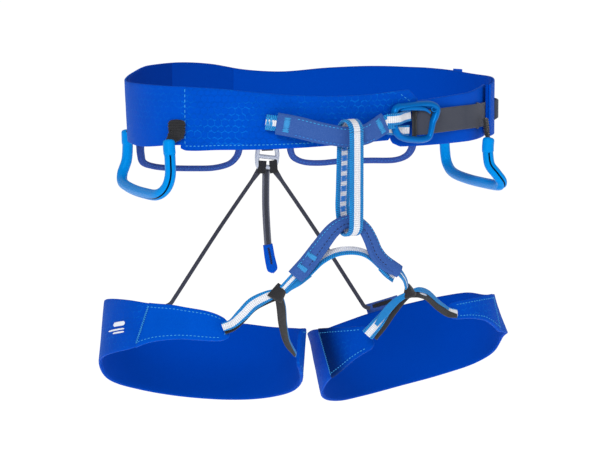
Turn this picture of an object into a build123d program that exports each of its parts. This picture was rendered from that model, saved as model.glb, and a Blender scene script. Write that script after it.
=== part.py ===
"""Lightweight climbing harness in the shape it has when worn. Millimetres.

The origin is the centre of the waist opening at the belt's mid height. +Z is up, the front faces -Y and
+X is the wearer's left. Fabric panels are bands on four-arc ovals; a place on an oval is given by the
direction, in degrees, in which its surface faces, and by an offset outward from its outer face.
"""

import os
from math import atan2, cos, degrees, radians, sin

from build123d import *

# Waist belt: outer size, and the layers of its laminate from the outside in
WAIST_WIDTH = 320.0
WAIST_DEPTH = 200.0
WAIST_END_RADIUS = 75.0
SHELL = 1.8
CORE = 1.2
LINING = 1.0
PLY_GAP = 0.1
BELT_THICKNESS = SHELL + CORE + LINING + 2 * PLY_GAP
CORE_STRIP_HEIGHT = 12.0
CORE_STRIP_Z = 12.0
CLEARANCE = 0.3

# Where the belt's panels begin and end
SEAM_DIRECTION = 236.0
SLOT_DIRECTION = -37.0
TIP_DIRECTION = -74.0
UNDERLAP_START = -80.0
UNDERLAP_END = -28.0

# Waist strap and buckle
STRAP_WIDTH = 20.0
STRAP_THICKNESS = 1.7
STRAP_Z = -3.0
STRAP_SLOT_DIRECTION = -23.5
STRAP_SEWN_END = 12.0
KEEPER_DIRECTION = -48.0
BUCKLE_DIRECTION = -75.5
BUCKLE_OFFSET = 2.2
BUCKLE_LENGTH = 47.0
BUCKLE_HEIGHT = 33.0
BUCKLE_THICKNESS = 4.6
BUCKLE_RAIL = 4.0
SLIDER_WIDTH = 5.0
SLIDER_THICKNESS = 2.4

# Tie-in webbing, its sleeves and the belay loop
WEBBING_THICKNESS = 1.4
SLEEVE_WALL = 0.8
TIE_IN_HEIGHT = 17.5
TIE_IN_REACH = 14.0
BELAY_WIDTH = 13.5
BELAY_THICKNESS = 2.4
BELAY_LENGTH = 97.3
BELAY_DEPTH = 20.0
BELAY_TOP = 3.8
BELAY_X = -3.0
BELAY_YAW = 17.0
BARTACKS = 7
BARTACK_PITCH = 9.0
ARCH_WIDTH = 12.0
ARCH_DEPTH = 6.0

# Leg loops
LEG_HALF_DEPTH = 74.0
LEG_END_RADIUS = LEG_HALF_DEPTH - 4.0
LEG_TILT = 19.0
LEG_WEBBING_WIDTH = 11.0
ELASTIC_WIDTH = 5.5
ELASTIC_THICKNESS = 1.2
KEEPER_REACH = 11.5

# Rear risers
HOOK_X = -5.0
HOOK_TOP = -37.0
HOOK_WIDTH = 19.0
HOOK_HEIGHT = 26.0
HOOK_THICKNESS = 2.0
RISER_WIDTH = 3.6
TAIL_WIDTH = 6.0
TAIL_LENGTH = 68.0
TAIL_TAB_LENGTH = 25.0

# Gear loops
SHEATH_RADIUS = 4.6
CORD_RADIUS = 2.3
COLLAR_RADIUS = 5.2
COLLAR_LENGTH = 11.0
REAR_LOOP_RADIUS = 2.3
REAR_CORD_RADIUS = 1.3

REACH = 400.0
FRONT_Y = -WAIST_DEPTH / 2
BACK_Y = WAIST_DEPTH / 2
WAIST = (WAIST_WIDTH / 2, WAIST_DEPTH / 2, WAIST_END_RADIUS)
BELAY_Y = FRONT_Y - TIE_IN_REACH - 0.5

pieces = {}


def keep(part, name):
    """Label a finished piece and put it on the list to be written."""
    part.label = name
    pieces[name] = part


def oval_arcs(oval, start, end):
    """The oval's arcs between two facing directions: (centre, radius, from, to), in order."""
    half_width, half_depth, end_radius = oval
    end_x = half_width - end_radius
    rise = (end_x**2 - (half_depth - end_radius) ** 2) / (2 * (half_depth - end_radius))
    join = degrees(atan2(rise, end_x))
    arcs = [
        ((end_x, 0), end_radius, -join, join),
        ((0, -rise), half_depth + rise, join, 180 - join),
        ((-end_x, 0), end_radius, 180 - join, 180 + join),
        ((0, rise), half_depth + rise, 180 + join, 360 - join),
    ]
    found = []
    for turn in (-360, 0, 360):
        for centre, radius, low, high in arcs:
            a = max(start, low + turn)
            b = min(end, high + turn)
            if b - a > 0.01:
                found.append((centre, radius, a, b))
    return sorted(found, key=lambda arc: arc[2])


def oval_point(oval, direction, offset=0.0):
    """The point of an oval that faces a direction, moved outward by offset."""
    centre, radius, _, _ = oval_arcs(oval, direction - 0.1, direction + 0.1)[0]
    a = radians(direction)
    return (centre[0] + (radius + offset) * cos(a), centre[1] + (radius + offset) * sin(a))


def belt_point(direction, offset=0.0, z=0.0):
    """A point on the waist belt's outer face."""
    return Vector(*oval_point(WAIST, direction, offset), z)


def band_face(oval, start, end, outer, inner):
    """The plan of a band on an oval, between two directions and two offsets."""
    arcs = oval_arcs(oval, start, end)
    with BuildSketch() as plan:
        with BuildLine():
            for offset in (outer, inner):
                for centre, radius, a, b in arcs:
                    CenterArc(centre, radius + offset, a, b - a)
            for direction in (start, end):
                Line(oval_point(oval, direction, outer), oval_point(oval, direction, inner))
        make_face()
    return plan.sketch


def arc_chain(points):
    """In a line context, three-point arcs that share their ends."""
    for i in range(0, len(points) - 2, 2):
        ThreePointArc(points[i], points[i + 1], points[i + 2])


def band_panel(plane, oval, start, end, outer, inner, top, bottom):
    """A band on an oval, cut to the top and bottom edges that it shows when seen along the plane's Y."""
    front = Plane(origin=plane.origin, x_dir=plane.x_dir, z_dir=-plane.y_dir)
    with BuildPart() as panel:
        with BuildSketch(plane):
            add(band_face(oval, start, end, outer, inner))
        extrude(amount=REACH, both=True)
        with BuildSketch(front):
            with BuildLine():
                arc_chain(top)
                arc_chain(bottom)
                Line(top[0], bottom[0])
                Line(top[-1], bottom[-1])
            make_face()
        extrude(amount=REACH, both=True, mode=Mode.INTERSECT)
    return panel.part


def level_band(start, end, outer, inner, low, high):
    """A band of even height on the waist oval."""
    with BuildPart() as band:
        with BuildSketch(Plane.XY.offset(low)):
            add(band_face(WAIST, start, end, outer, inner))
        extrude(amount=high - low)
    return band.part


def ribbon(start, end, width, thickness, facing):
    """A straight flat strap between two points, with its flat side turned to a direction."""
    along = (end - start).normalized()
    across = along.cross(facing).normalized()
    with BuildPart() as strap:
        with BuildSketch(Plane(origin=start, x_dir=across, z_dir=along)):
            Rectangle(width, thickness)
        extrude(amount=(end - start).length)
    return strap.part


def tube(points, radii, outer, inner=0.0):
    """A round tube, or a rod where inner is 0, along straight runs joined by arcs."""
    with BuildPart() as pipe:
        with BuildLine() as path:
            FilletPolyline(*points, radius=radii)
        with BuildSketch(Plane(origin=path.line @ 0, z_dir=path.line % 0)):
            Circle(outer)
            if inner:
                Circle(inner, mode=Mode.SUBTRACT)
        sweep()
    return pipe.part


# ---- Waist belt ---------------------------------------------------------------------------------------
SIDE_X = WAIST_WIDTH / 2 + 10
back_top = [(-SIDE_X, 28), (-95, 36.5), (-35, 28.5), (0, 25), (35, 27), (85, 31), (SIDE_X, 23)]
back_bottom = [(-SIDE_X, -20), (0, -34), (SIDE_X, -20)]
front_top = [(-SIDE_X, 29), (-100, 27), (-30, 21.5), (15, 20.8), (54, 23.8), (60, 22.5), (63, 16)]
front_bottom = [(-SIDE_X, -21), (-90, -22), (-30, -19), (0, -16.5), (36, -15)]
under_top = [(20, 12), (88, 14.8), (SIDE_X, 21)]
under_bottom = [(36, -14), (41, -20.5), (50, -22.5), (90, -24), (SIDE_X, -21)]
FLAP_CORNER = (45, 8)

layers = {
    "shell": (0.0, -SHELL),
    "lining": (-SHELL - CORE - 2 * PLY_GAP, -BELT_THICKNESS),
}
core_outer = -SHELL - PLY_GAP
core_inner = core_outer - CORE

slot_half = STRAP_WIDTH / 2 + 1.5
for layer, (outer, inner) in layers.items():
    back_band = band_panel(
        Plane.XY, WAIST, SLOT_DIRECTION, SEAM_DIRECTION, outer, inner, back_top, back_bottom
    )
    with BuildPart() as belt_back:
        add(back_band)
        with BuildSketch(Plane.XY.offset(STRAP_Z - slot_half)):
            low, high = STRAP_SLOT_DIRECTION - 3, STRAP_SLOT_DIRECTION + 3
            add(band_face(WAIST, low, high, 5, -BELT_THICKNESS - 2))
        extrude(amount=2 * slot_half, mode=Mode.SUBTRACT)
    keep(belt_back.part, f"belt_back_{layer}")

    with BuildPart() as belt_front:
        with BuildSketch():
            add(band_face(WAIST, SEAM_DIRECTION - 360 + 0.2, TIP_DIRECTION, outer, inner))
        extrude(amount=REACH, both=True)
        with BuildSketch(Plane.XZ):
            with BuildLine():
                arc_chain(front_top)
                arc_chain(front_bottom)
                Line(front_top[0], front_bottom[0])
                Line(front_top[-1], FLAP_CORNER)
                Line(FLAP_CORNER, front_bottom[-1])
            make_face()
        extrude(amount=REACH, both=True, mode=Mode.INTERSECT)
    keep(belt_front.part, f"belt_front_outer_{layer}")

with BuildPart() as belt_core_webbing:
    for strip_z in (-CORE_STRIP_Z, CORE_STRIP_Z):
        low = strip_z - CORE_STRIP_HEIGHT / 2
        add(level_band(-17, SEAM_DIRECTION - 1, core_outer, core_inner, low, low + CORE_STRIP_HEIGHT))
    add(level_band(SEAM_DIRECTION - 359, -82, core_outer, core_inner, -12, 12))
keep(belt_core_webbing.part, "belt_core_webbing")

UNDER_OUTER = -BELT_THICKNESS - STRAP_THICKNESS - 4 * CLEARANCE
UNDER_THICKNESS = 3.0
belt_front_inner = band_panel(
    Plane.XY, WAIST, UNDERLAP_START, UNDERLAP_END,
    UNDER_OUTER, UNDER_OUTER - UNDER_THICKNESS, under_top, under_bottom,
)
keep(belt_front_inner, "belt_front_inner_panel")

with BuildPart() as belt_label_tab:
    add(level_band(35.5, 41.5, 1.4, 0.2, 16, 29.5))
keep(belt_label_tab.part, "belt_label_tab")

# ---- Waist strap: sewn outside at the side, in through the slot, forward to the buckle ----------------
STRAP_INNER = UNDER_OUTER + 2 * CLEARANCE
strap_low = STRAP_Z - STRAP_WIDTH / 2
strap_high = STRAP_Z + STRAP_WIDTH / 2
with BuildPart() as waist_strap:
    for start, end, inner, outer in (
        (-63.5, STRAP_SLOT_DIRECTION, STRAP_INNER, STRAP_INNER + STRAP_THICKNESS),
        (STRAP_SLOT_DIRECTION - 1, STRAP_SLOT_DIRECTION + 1, STRAP_INNER, 0.2 + STRAP_THICKNESS),
        (STRAP_SLOT_DIRECTION, STRAP_SEWN_END, 0.2, 0.2 + STRAP_THICKNESS),
    ):
        add(level_band(start, end, outer, inner, strap_low, strap_high))
keep(waist_strap.part, "waist_strap")

with BuildPart() as strap_keeper:
    add(level_band(KEEPER_DIRECTION - 3, KEEPER_DIRECTION + 3,
                   STRAP_INNER - 0.1, UNDER_OUTER + 0.1, strap_low - 1, strap_high + 4))
keep(strap_keeper.part, "strap_keeper")

# ---- Buckle: a leaning ring, a slider bar behind it, webbing on the left and the strap on the right ----
buckle_out = Vector(cos(radians(BUCKLE_DIRECTION)), sin(radians(BUCKLE_DIRECTION)), 0)
buckle_along = Vector(-buckle_out.Y, buckle_out.X, 0)
buckle_origin = belt_point(BUCKLE_DIRECTION, BUCKLE_OFFSET, STRAP_Z)
buckle_face = Plane(origin=buckle_origin, x_dir=buckle_along, z_dir=buckle_out)
buckle_plan = Plane(origin=buckle_origin, x_dir=buckle_along, z_dir=(0, 0, 1))
half_length = BUCKLE_LENGTH / 2
half_height = BUCKLE_HEIGHT / 2
SLIDER_X = 0.5
with BuildPart() as buckle_frame:
    with BuildSketch(buckle_face):
        with BuildLine():
            Polyline(
                (2 - half_length, half_height - 3), (8 - half_length, half_height),
                (half_length - 8, half_height), (half_length, half_height - 6),
                (half_length - 8, 1 - half_height), (-2, -half_height),
                (5 - half_length, 3 - half_height), (-half_length, 6 - half_height),
                close=True,
            )
        make_face()
        fillet(vertices(), radius=3.5)
        offset(amount=-BUCKLE_RAIL, mode=Mode.SUBTRACT)
    extrude(amount=BUCKLE_THICKNESS)
    chamfer(faces().filter_by(buckle_face).sort_by(SortBy.DISTANCE, reverse=True)[0].edges(), 0.9)
keep(buckle_frame.part, "buckle_frame")

with BuildPart() as buckle_slider_bar:
    with BuildSketch(buckle_face.offset(-SLIDER_THICKNESS - 0.2)):
        with Locations((SLIDER_X, 0)):
            RectangleRounded(SLIDER_WIDTH, BUCKLE_HEIGHT - 5, 2)
    extrude(amount=SLIDER_THICKNESS)
keep(buckle_slider_bar.part, "buckle_slider_bar")

fold_left = SLIDER_X - SLIDER_WIDTH / 2 - STRAP_THICKNESS / 2 - 0.2
fold_back = SLIDER_THICKNESS + 0.4 + STRAP_THICKNESS / 2
with BuildPart() as strap_fold:
    with BuildSketch(buckle_plan.offset(-STRAP_WIDTH / 2)):
        with BuildLine() as route:
            FilletPolyline(
                (half_length, 1.4), (half_length - 13, 1.4), (half_length - 17, -1.0),
                (fold_left, -1.0), (fold_left, fold_back), (half_length, fold_back),
                radius=1.0,
            )
        trace(line_width=STRAP_THICKNESS)
    extrude(amount=STRAP_WIDTH)
keep(strap_fold.part, "waist_strap_fold")

strand_end = fold_left - STRAP_THICKNESS / 2 - 0.3
with BuildPart() as buckle_webbing:
    with BuildSketch(buckle_plan.offset(1.5)):
        with BuildLine():
            FilletPolyline(
                (-half_length - 1, -BUCKLE_THICKNESS - 1), (-half_length + 7, -BUCKLE_THICKNESS - 1),
                (-half_length + 13, -1.2), (strand_end, -1.2), radius=2,
            )
        trace(line_width=WEBBING_THICKNESS)
    extrude(amount=9)
    with BuildSketch(buckle_plan.offset(-8)):
        with BuildLine():
            Line((-half_length + 3, 1.1), (strand_end, 1.1))
        trace(line_width=WEBBING_THICKNESS)
    extrude(amount=8.5)
keep(buckle_webbing.part, "buckle_webbing")

# ---- Upper tie-in: webbing in a sleeve, bowed out from the belt and sagging to the middle -------------
tie_in_left = belt_point(-106.5, 3.2)
tie_in_middle = Vector(-8, FRONT_Y - TIE_IN_REACH)
tie_in_right = belt_point(-82.5, 6.5)
tie_in_top = [(-68, 10.5), (-6, -2.5), (32, 8.5)]


def tie_in_strap(start, end, thickness, height):
    """A length of the tie-in strap: its plan arc and its sagging front outline, crossed."""
    margin = (TIE_IN_HEIGHT - height) / 2
    top = [(x, z - margin) for x, z in tie_in_top]
    bottom = [(x, z - height) for x, z in top]
    with BuildPart() as strap:
        with BuildSketch():
            with BuildLine():
                whole = ThreePointArc(tie_in_left, tie_in_middle, tie_in_right, mode=Mode.PRIVATE)
                add(whole.trim(start, end))
            trace(line_width=thickness)
        extrude(amount=REACH, both=True)
        with BuildSketch(Plane.XZ):
            with BuildLine():
                arc_chain(top)
                arc_chain(bottom)
                Line(top[0], bottom[0])
                Line(top[-1], bottom[-1])
            make_face()
        extrude(amount=REACH, both=True, mode=Mode.INTERSECT)
    return strap.part


sleeve_thickness = WEBBING_THICKNESS + 2 * SLEEVE_WALL + 4 * PLY_GAP
tie_in_pocket = tie_in_strap(0.0, 1.0, WEBBING_THICKNESS + 4 * PLY_GAP, TIE_IN_HEIGHT - 2.2)
upper_webbing = tie_in_strap(0.0, 1.0, WEBBING_THICKNESS, TIE_IN_HEIGHT - 3)
with BuildPart() as upper_tie_in_sleeve:
    add(tie_in_strap(0.09, 0.97, sleeve_thickness, TIE_IN_HEIGHT))
    add(tie_in_pocket, mode=Mode.SUBTRACT)
keep(upper_tie_in_sleeve.part, "upper_tie_in_sleeve")
keep(upper_webbing, "upper_tie_in_webbing")

# ---- Belay loop: a closed webbing loop hanging on the upper tie-in and round the lower one ------------
belay_front = Vector(sin(radians(BELAY_YAW)), -cos(radians(BELAY_YAW)), 0)
belay_across = Vector(belay_front.Y, -belay_front.X, 0)
belay_centre = Vector(BELAY_X, BELAY_Y, BELAY_TOP - BELAY_LENGTH / 2)
with BuildPart() as belay_loop_webbing:
    with BuildSketch(Plane(origin=belay_centre, x_dir=belay_front, z_dir=belay_across)):
        SlotOverall(BELAY_LENGTH, BELAY_DEPTH, rotation=90)
        SlotOverall(
            BELAY_LENGTH - 2 * BELAY_THICKNESS, BELAY_DEPTH - 2 * BELAY_THICKNESS,
            rotation=90, mode=Mode.SUBTRACT,
        )
    extrude(amount=BELAY_WIDTH / 2, both=True)
keep(belay_loop_webbing.part, "belay_loop_webbing")

back_run_face = belay_centre - belay_front * (BELAY_DEPTH / 2 - BELAY_THICKNESS - 0.05)
with BuildPart() as belay_loop_bartacks:
    with BuildSketch(Plane(origin=back_run_face, x_dir=belay_across, z_dir=belay_front)):
        with GridLocations(1, BARTACK_PITCH, 1, BARTACKS):
            Rectangle(7, 3)
    extrude(amount=0.5)
keep(belay_loop_bartacks.part, "belay_loop_bartacks")

# ---- Lower tie-in: an arch of sleeved webbing, with the bridge between the legs behind it --------------
ARCH_BACK_Y = BELAY_Y + ARCH_DEPTH / 2
arch_points = [(-45, -121), (-22, -86), (-12, -79.5), (2, -79), (11, -85), (23, -109), (41.5, -122.5)]
bridge_points = [(-38, -127), (-24, -110), (-12, -104.5), (6, -104), (18, -110.5), (36, -131)]


def arch_strap(points, radii, width, depth, back_y):
    """A strap that bends in the XZ plane; back_y is its rear face."""
    with BuildPart() as strap:
        with BuildSketch(Plane.XZ.offset(-back_y)):
            with BuildLine():
                FilletPolyline(*points, radius=radii)
            trace(line_width=width)
        extrude(amount=depth)
    return strap.part


arch_wall = SLEEVE_WALL + PLY_GAP
arch_radii = [12, 9, 9, 11, 9]
arch_pocket = arch_strap(
    arch_points, arch_radii, ARCH_WIDTH - 2 * arch_wall - 1, ARCH_DEPTH - 2 * arch_wall,
    ARCH_BACK_Y - arch_wall,
)
lower_webbing = arch_strap(
    arch_points, arch_radii, ARCH_WIDTH - 3.6, ARCH_DEPTH - 2.4, ARCH_BACK_Y - 1.2
)
with BuildPart() as lower_tie_in_sleeve:
    add(arch_strap(arch_points, arch_radii, ARCH_WIDTH, ARCH_DEPTH, ARCH_BACK_Y))
    add(arch_pocket, mode=Mode.SUBTRACT)
keep(lower_tie_in_sleeve.part, "lower_tie_in_sleeve")
keep(lower_webbing, "lower_tie_in_webbing")

bridge = arch_strap(bridge_points, 7, WEBBING_THICKNESS + 0.6, 10, ARCH_BACK_Y + 10 + CLEARANCE)
keep(bridge, "bridge_webbing")

with BuildPart() as tie_in_bartacks:
    for x, z, turn in ((-41.5, -112.5, 52), (-36, -104, 52), (36.5, -118.5, -38)):
        with BuildSketch(Plane.XZ.offset(-ARCH_BACK_Y + ARCH_DEPTH + 0.1)):
            with Locations((x, z)):
                Rectangle(3, 9, rotation=turn)
        extrude(amount=0.5)
keep(tie_in_bartacks.part, "tie_in_bartacks")

# ---- Leg loops ----------------------------------------------------------------------------------------
LEG_SHELL = 1.8
LEG_LINING = 1.0
LEG_THICKNESS = LEG_SHELL + LEG_LINING + PLY_GAP
HINGE_Y = FRONT_Y + 8
legs = {
    "left": {
        "side": 1, "centre": (94, 10, -198), "half_width": 84.0, "roll": 13.0,
        "tip": -74.0, "inner_tip": 234.0, "keeper": (56.5, HINGE_Y, -141.5),
        "back_top": [(88, 15), (0, 35), (-88, 27)], "back_bottom": [(88, -24), (0, -35), (-88, -21)],
        "flap_top": [(88, 15), (60, 10), (10, 9)], "flap_bottom": [(88, -24), (60, -17), (10, -4)],
        "inner_top": [(-88, 27), (-70, 21), (-35, 11)],
        "inner_bottom": [(-88, -21), (-70, -12), (-35, -4)],
    },
    "right": {
        "side": -1, "centre": (-92, 10, -197), "half_width": 86.0, "roll": 11.0,
        "tip": -86.0, "inner_tip": 218.0, "keeper": (-57, HINGE_Y, -137.5),
        "back_top": [(90, 27), (0, 38), (-90, 27)], "back_bottom": [(90, -20), (0, -31), (-90, -25)],
        "flap_top": [(90, 27), (60, 18), (0, 9)], "flap_bottom": [(90, -20), (60, -13.5), (0, -8)],
        "inner_top": [(-90, 27), (-80, 21.5), (-50, 15)],
        "inner_bottom": [(-90, -25), (-80, -20.5), (-50, -9)],
    },
}
FLAP_SEAM = -38.0
INNER_SEAM = 196.0


def leg_frame(leg):
    """The leg loop's own plane: tilted back, and rolled so that its outer side is higher."""
    turns = (-LEG_TILT, -leg["side"] * leg["roll"], 0)
    return Plane(Location(leg["centre"], turns, Extrinsic.XYZ))


def leg_direction(leg, direction):
    """A facing direction measured from the leg's outer side, turned to the leg plane's own X."""
    return direction if leg["side"] > 0 else 180 - direction


def leg_point(leg, direction, offset=0.0, height=0.0):
    """A point of the leg loop's outer face, in the harness's frame."""
    oval = (leg["half_width"], LEG_HALF_DEPTH, LEG_END_RADIUS)
    x, y = oval_point(oval, leg_direction(leg, direction), offset)
    return leg_frame(leg).from_local_coords(Vector(x, y, height))


def leg_band(leg, start, end, outer, inner, top, bottom):
    """A band of the leg loop between two directions from its outer side, cut to its edges."""
    oval = (leg["half_width"], LEG_HALF_DEPTH, LEG_END_RADIUS)
    a, b = sorted((leg_direction(leg, start), leg_direction(leg, end)))
    top = [(leg["side"] * x, z) for x, z in top]
    bottom = [(leg["side"] * x, z) for x, z in bottom]
    return band_panel(leg_frame(leg), oval, a, b, outer, inner, top, bottom)


for name, leg in legs.items():
    for layer, outer, inner in (
        ("back_panel", 0.0, -LEG_SHELL),
        ("lining", -LEG_SHELL - PLY_GAP, -LEG_THICKNESS),
    ):
        rear = leg_band(leg, 0, 180, outer, inner, leg["back_top"], leg["back_bottom"])
        outside = leg_band(leg, FLAP_SEAM, 0, outer, inner, leg["flap_top"], leg["flap_bottom"])
        inside = leg_band(leg, 180, INNER_SEAM, outer, inner, leg["inner_top"], leg["inner_bottom"])
        with BuildPart() as leg_layer:
            add(rear)
            add(outside)
            add(inside)
        keep(leg_layer.part, f"{name}_leg_{layer}")

    outer_flap = leg_band(
        leg, leg["tip"], FLAP_SEAM - 0.2, 0.0, -LEG_THICKNESS, leg["flap_top"], leg["flap_bottom"]
    )
    inner_flap = leg_band(
        leg, INNER_SEAM + 0.2, leg["inner_tip"], 0.0, -LEG_THICKNESS, leg["inner_top"], leg["inner_bottom"]
    )
    keep(outer_flap, f"{name}_leg_outer_flap")
    keep(inner_flap, f"{name}_leg_inner_flap")

    keeper = Vector(*leg["keeper"])
    outer_end = leg_point(leg, leg["tip"] - 2.2, -LEG_THICKNESS / 2)
    inner_end = leg_point(leg, leg["inner_tip"] + 2.6, -LEG_THICKNESS / 2)
    facing = Vector(0, -1, 0.4)
    strap_thickness = WEBBING_THICKNESS + 0.4
    elastics = []
    for branch, end in (("outer", outer_end), ("inner", inner_end)):
        along = (end - keeper).normalized()
        start = keeper + along * KEEPER_REACH
        strap = ribbon(start, end, LEG_WEBBING_WIDTH, strap_thickness, facing)
        keep(strap, f"{name}_leg_{branch}_webbing")
        normal = (facing - along * facing.dot(along)).normalized()
        behind = normal * -((strap_thickness + ELASTIC_THICKNESS) / 2 + CLEARANCE)
        elastic = ribbon(start + behind, end + behind - along * 3, ELASTIC_WIDTH, ELASTIC_THICKNESS, facing)
        elastics.append(elastic)
    with BuildPart() as leg_elastics:
        for strip in elastics:
            add(strip)
    keep(leg_elastics.part, f"{name}_leg_elastics")

    with BuildPart() as keeper_loop:
        with BuildSketch(Plane(origin=keeper, x_dir=(1, 0, 0), z_dir=(0, -0.6, 0.8))):
            RectangleRounded(14, 7, 2)
        extrude(amount=6, both=True)
    keep(keeper_loop.part, f"{name}_keeper")

    tail_top = Vector(leg["side"] * 47.5, ARCH_BACK_Y - ARCH_DEPTH / 2, -124)
    tail_end = keeper + (tail_top - keeper).normalized() * 9.5
    tail_strap = ribbon(tail_end, tail_top, 10, 3.2, facing)
    keep(tail_strap, f"{name}_tie_in_tail")

# ---- Rear risers --------------------------------------------------------------------------------------
HOOK_Y = BACK_Y + 2.5
hook_face = Plane(origin=(HOOK_X, HOOK_Y, HOOK_TOP), x_dir=(1, 0, 0), z_dir=(0, -1, 0))
with BuildPart() as riser_hook:
    with BuildSketch(hook_face.offset(-HOOK_THICKNESS)):
        with Locations((0, -HOOK_HEIGHT / 2)):
            RectangleRounded(HOOK_WIDTH, HOOK_HEIGHT, 4)
        with Locations((0, -7.5)):
            RectangleRounded(13, 9, 2, mode=Mode.SUBTRACT)
        with Locations((0, -19.5)):
            RectangleRounded(14, 5, 2, mode=Mode.SUBTRACT)
        with Locations((-HOOK_WIDTH / 2, -9)):
            Rectangle(8, 2.5, mode=Mode.SUBTRACT)
    extrude(amount=HOOK_THICKNESS)
keep(riser_hook.part, "riser_hook")

tab_inner_y = BACK_Y + 1.2
tab_outer_y = HOOK_Y + HOOK_THICKNESS + 1.3
with BuildPart() as riser_anchor_tab:
    with BuildSketch(Plane.YZ.offset(HOOK_X - 5.5)):
        with BuildLine():
            FilletPolyline(
                (tab_inner_y, -18), (tab_inner_y, HOOK_TOP - 4.6),
                (tab_outer_y, HOOK_TOP - 4.6), (tab_outer_y, -18), radius=1.5,
            )
        trace(line_width=1.2)
    extrude(amount=11)
keep(riser_anchor_tab.part, "riser_anchor_tab")

RISER_Y = HOOK_Y + HOOK_THICKNESS + 1.5
for name, leg in legs.items():
    side = leg["side"]
    tab_direction = 98 if side > 0 else 92
    tab = leg_band(leg, tab_direction - 17, tab_direction, 2.0, 0.2, [(60, 47), (0, 48), (-60, 46)],
                   [(60, 30), (0, 32), (-60, 30)])
    keep(tab, f"{name}_riser_tab")
    riser_top = Vector(HOOK_X + side * 6, RISER_Y, HOOK_TOP - 19)
    riser_bottom = leg_point(leg, tab_direction + 1.5, 1.1, 41)
    riser = ribbon(riser_top, riser_bottom, RISER_WIDTH, 1.4, Vector(0, 1, 0))
    keep(riser, f"{name}_riser")

TAIL_TOP = HOOK_TOP - 21
with BuildPart() as riser_adjust_strap:
    with BuildSketch(Plane.XZ.offset(-RISER_Y - 2.4)):
        with Locations((HOOK_X, TAIL_TOP - TAIL_LENGTH / 2)):
            Rectangle(TAIL_WIDTH, TAIL_LENGTH)
    extrude(amount=1.4)
keep(riser_adjust_strap.part, "riser_adjust_strap")

with BuildPart() as riser_tail_tab:
    with BuildSketch(Plane.XZ.offset(-RISER_Y - 3.0)):
        with Locations((HOOK_X, TAIL_TOP - TAIL_LENGTH - 0.2 - TAIL_TAB_LENGTH / 2)):
            RectangleRounded(TAIL_WIDTH + 3, TAIL_TAB_LENGTH, 2)
    extrude(amount=2.6)
keep(riser_tail_tab.part, "riser_tail_tab")

# ---- Gear loops: two stiff sheathed ones at the sides, two soft ones behind ----------------------------
FRONT_FOOT = -48.0
REAR_FOOT = 44.5
LOOP_OFFSET = 7.0


def side_direction(side, direction):
    """A belt direction on the wearer's left, mirrored for the right."""
    return direction if side > 0 else 180 - direction


def webbing_tab(direction, offset, top, bottom, top_width, bottom_width):
    """A tapering webbing tab that lies against the belt and faces a direction."""
    out = Vector(cos(radians(direction)), sin(radians(direction)), 0)
    along = Vector(-out.Y, out.X, 0)
    with BuildPart() as tab:
        with BuildSketch(Plane(origin=belt_point(direction, offset), x_dir=along, z_dir=out)):
            with BuildLine():
                Polyline(
                    (-top_width / 2, top), (top_width / 2, top),
                    (bottom_width / 2, bottom), (-bottom_width / 2, bottom), close=True,
                )
            make_face()
        extrude(amount=2.2)
    return tab.part


for name, side in (("left", 1), ("right", -1)):
    front_z = -20.0 if side > 0 else -15.0
    rear_z = -22.0
    front = belt_point(side_direction(side, FRONT_FOOT), LOOP_OFFSET)
    rear = belt_point(side_direction(side, REAR_FOOT), LOOP_OFFSET)
    out = Vector(side, 0, 0)
    route = [
        front + Vector(0, 0, front_z),
        front + Vector(0, 0, front_z - 26) + out * 1,
        front + Vector(side * 9, -8, front_z - 47),
        rear + Vector(side * 15, -4, rear_z - 45),
        rear + Vector(side * 3, 0, rear_z - 22),
        rear + Vector(0, 0, rear_z),
    ]
    drop_front = (route[1] - route[0]).normalized()
    drop_rear = (route[4] - route[5]).normalized()
    front_collar_end = route[0] + drop_front * COLLAR_LENGTH
    rear_collar_end = route[5] + drop_rear * COLLAR_LENGTH
    sheath_route = [front_collar_end, *route[1:5], rear_collar_end]
    bends = [16, 13, 13, 10]
    keep(tube(sheath_route, bends, SHEATH_RADIUS, CORD_RADIUS + 0.2), f"{name}_gear_loop_sheath")
    keep(tube(route, bends, CORD_RADIUS), f"{name}_gear_loop_cord")
    with BuildPart() as collars:
        for top, foot in ((route[0], front_collar_end), (route[5], rear_collar_end)):
            with BuildSketch(Plane(origin=foot, z_dir=(top - foot))):
                Circle(COLLAR_RADIUS)
                Circle(CORD_RADIUS + 0.2, mode=Mode.SUBTRACT)
            extrude(amount=COLLAR_LENGTH)
    keep(collars.part, f"{name}_gear_loop_collars")

    front_tab = webbing_tab(side_direction(side, FRONT_FOOT), 0.3, front_z + 20, front_z + 1.5, 16, 9)
    rear_tab = webbing_tab(side_direction(side, REAR_FOOT), 0.3, rear_z + 20, rear_z + 1.5, 16, 9)
    with BuildPart() as gear_tabs:
        add(front_tab)
        add(rear_tab)
    keep(gear_tabs.part, f"{name}_gear_loop_tabs")

soft_loops = {"left": (86.0, 59.5, 1), "right": (97.5, 125.5, -1)}
rear_tabs = []
for name, (inner_foot, outer_foot, side) in soft_loops.items():
    inner_top = belt_point(inner_foot, 3.4, -30)
    outer_top = belt_point(outer_foot, 3.4, -27)
    route = [
        inner_top,
        inner_top + Vector(0, 0, -10),
        inner_top + Vector(side * 8, 0, -25),
        outer_top + Vector(-side * 10, 4, -27),
        outer_top + Vector(-side * 1, 0, -12),
        outer_top,
    ]
    bends = [7, 9, 9, 7]
    keep(tube(route, bends, REAR_LOOP_RADIUS, REAR_CORD_RADIUS + 0.1), f"rear_{name}_gear_loop_sleeve")
    keep(tube(route, bends, REAR_CORD_RADIUS), f"rear_{name}_gear_loop_cord")
    for foot, z in ((inner_foot, -28.5), (outer_foot, -25.5)):
        rear_tabs.append(webbing_tab(foot, 0.3, z + 9, z, 9, 7))
with BuildPart() as rear_gear_loop_tabs:
    for tab in rear_tabs:
        add(tab)
keep(rear_gear_loop_tabs.part, "rear_gear_loop_tabs")

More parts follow.
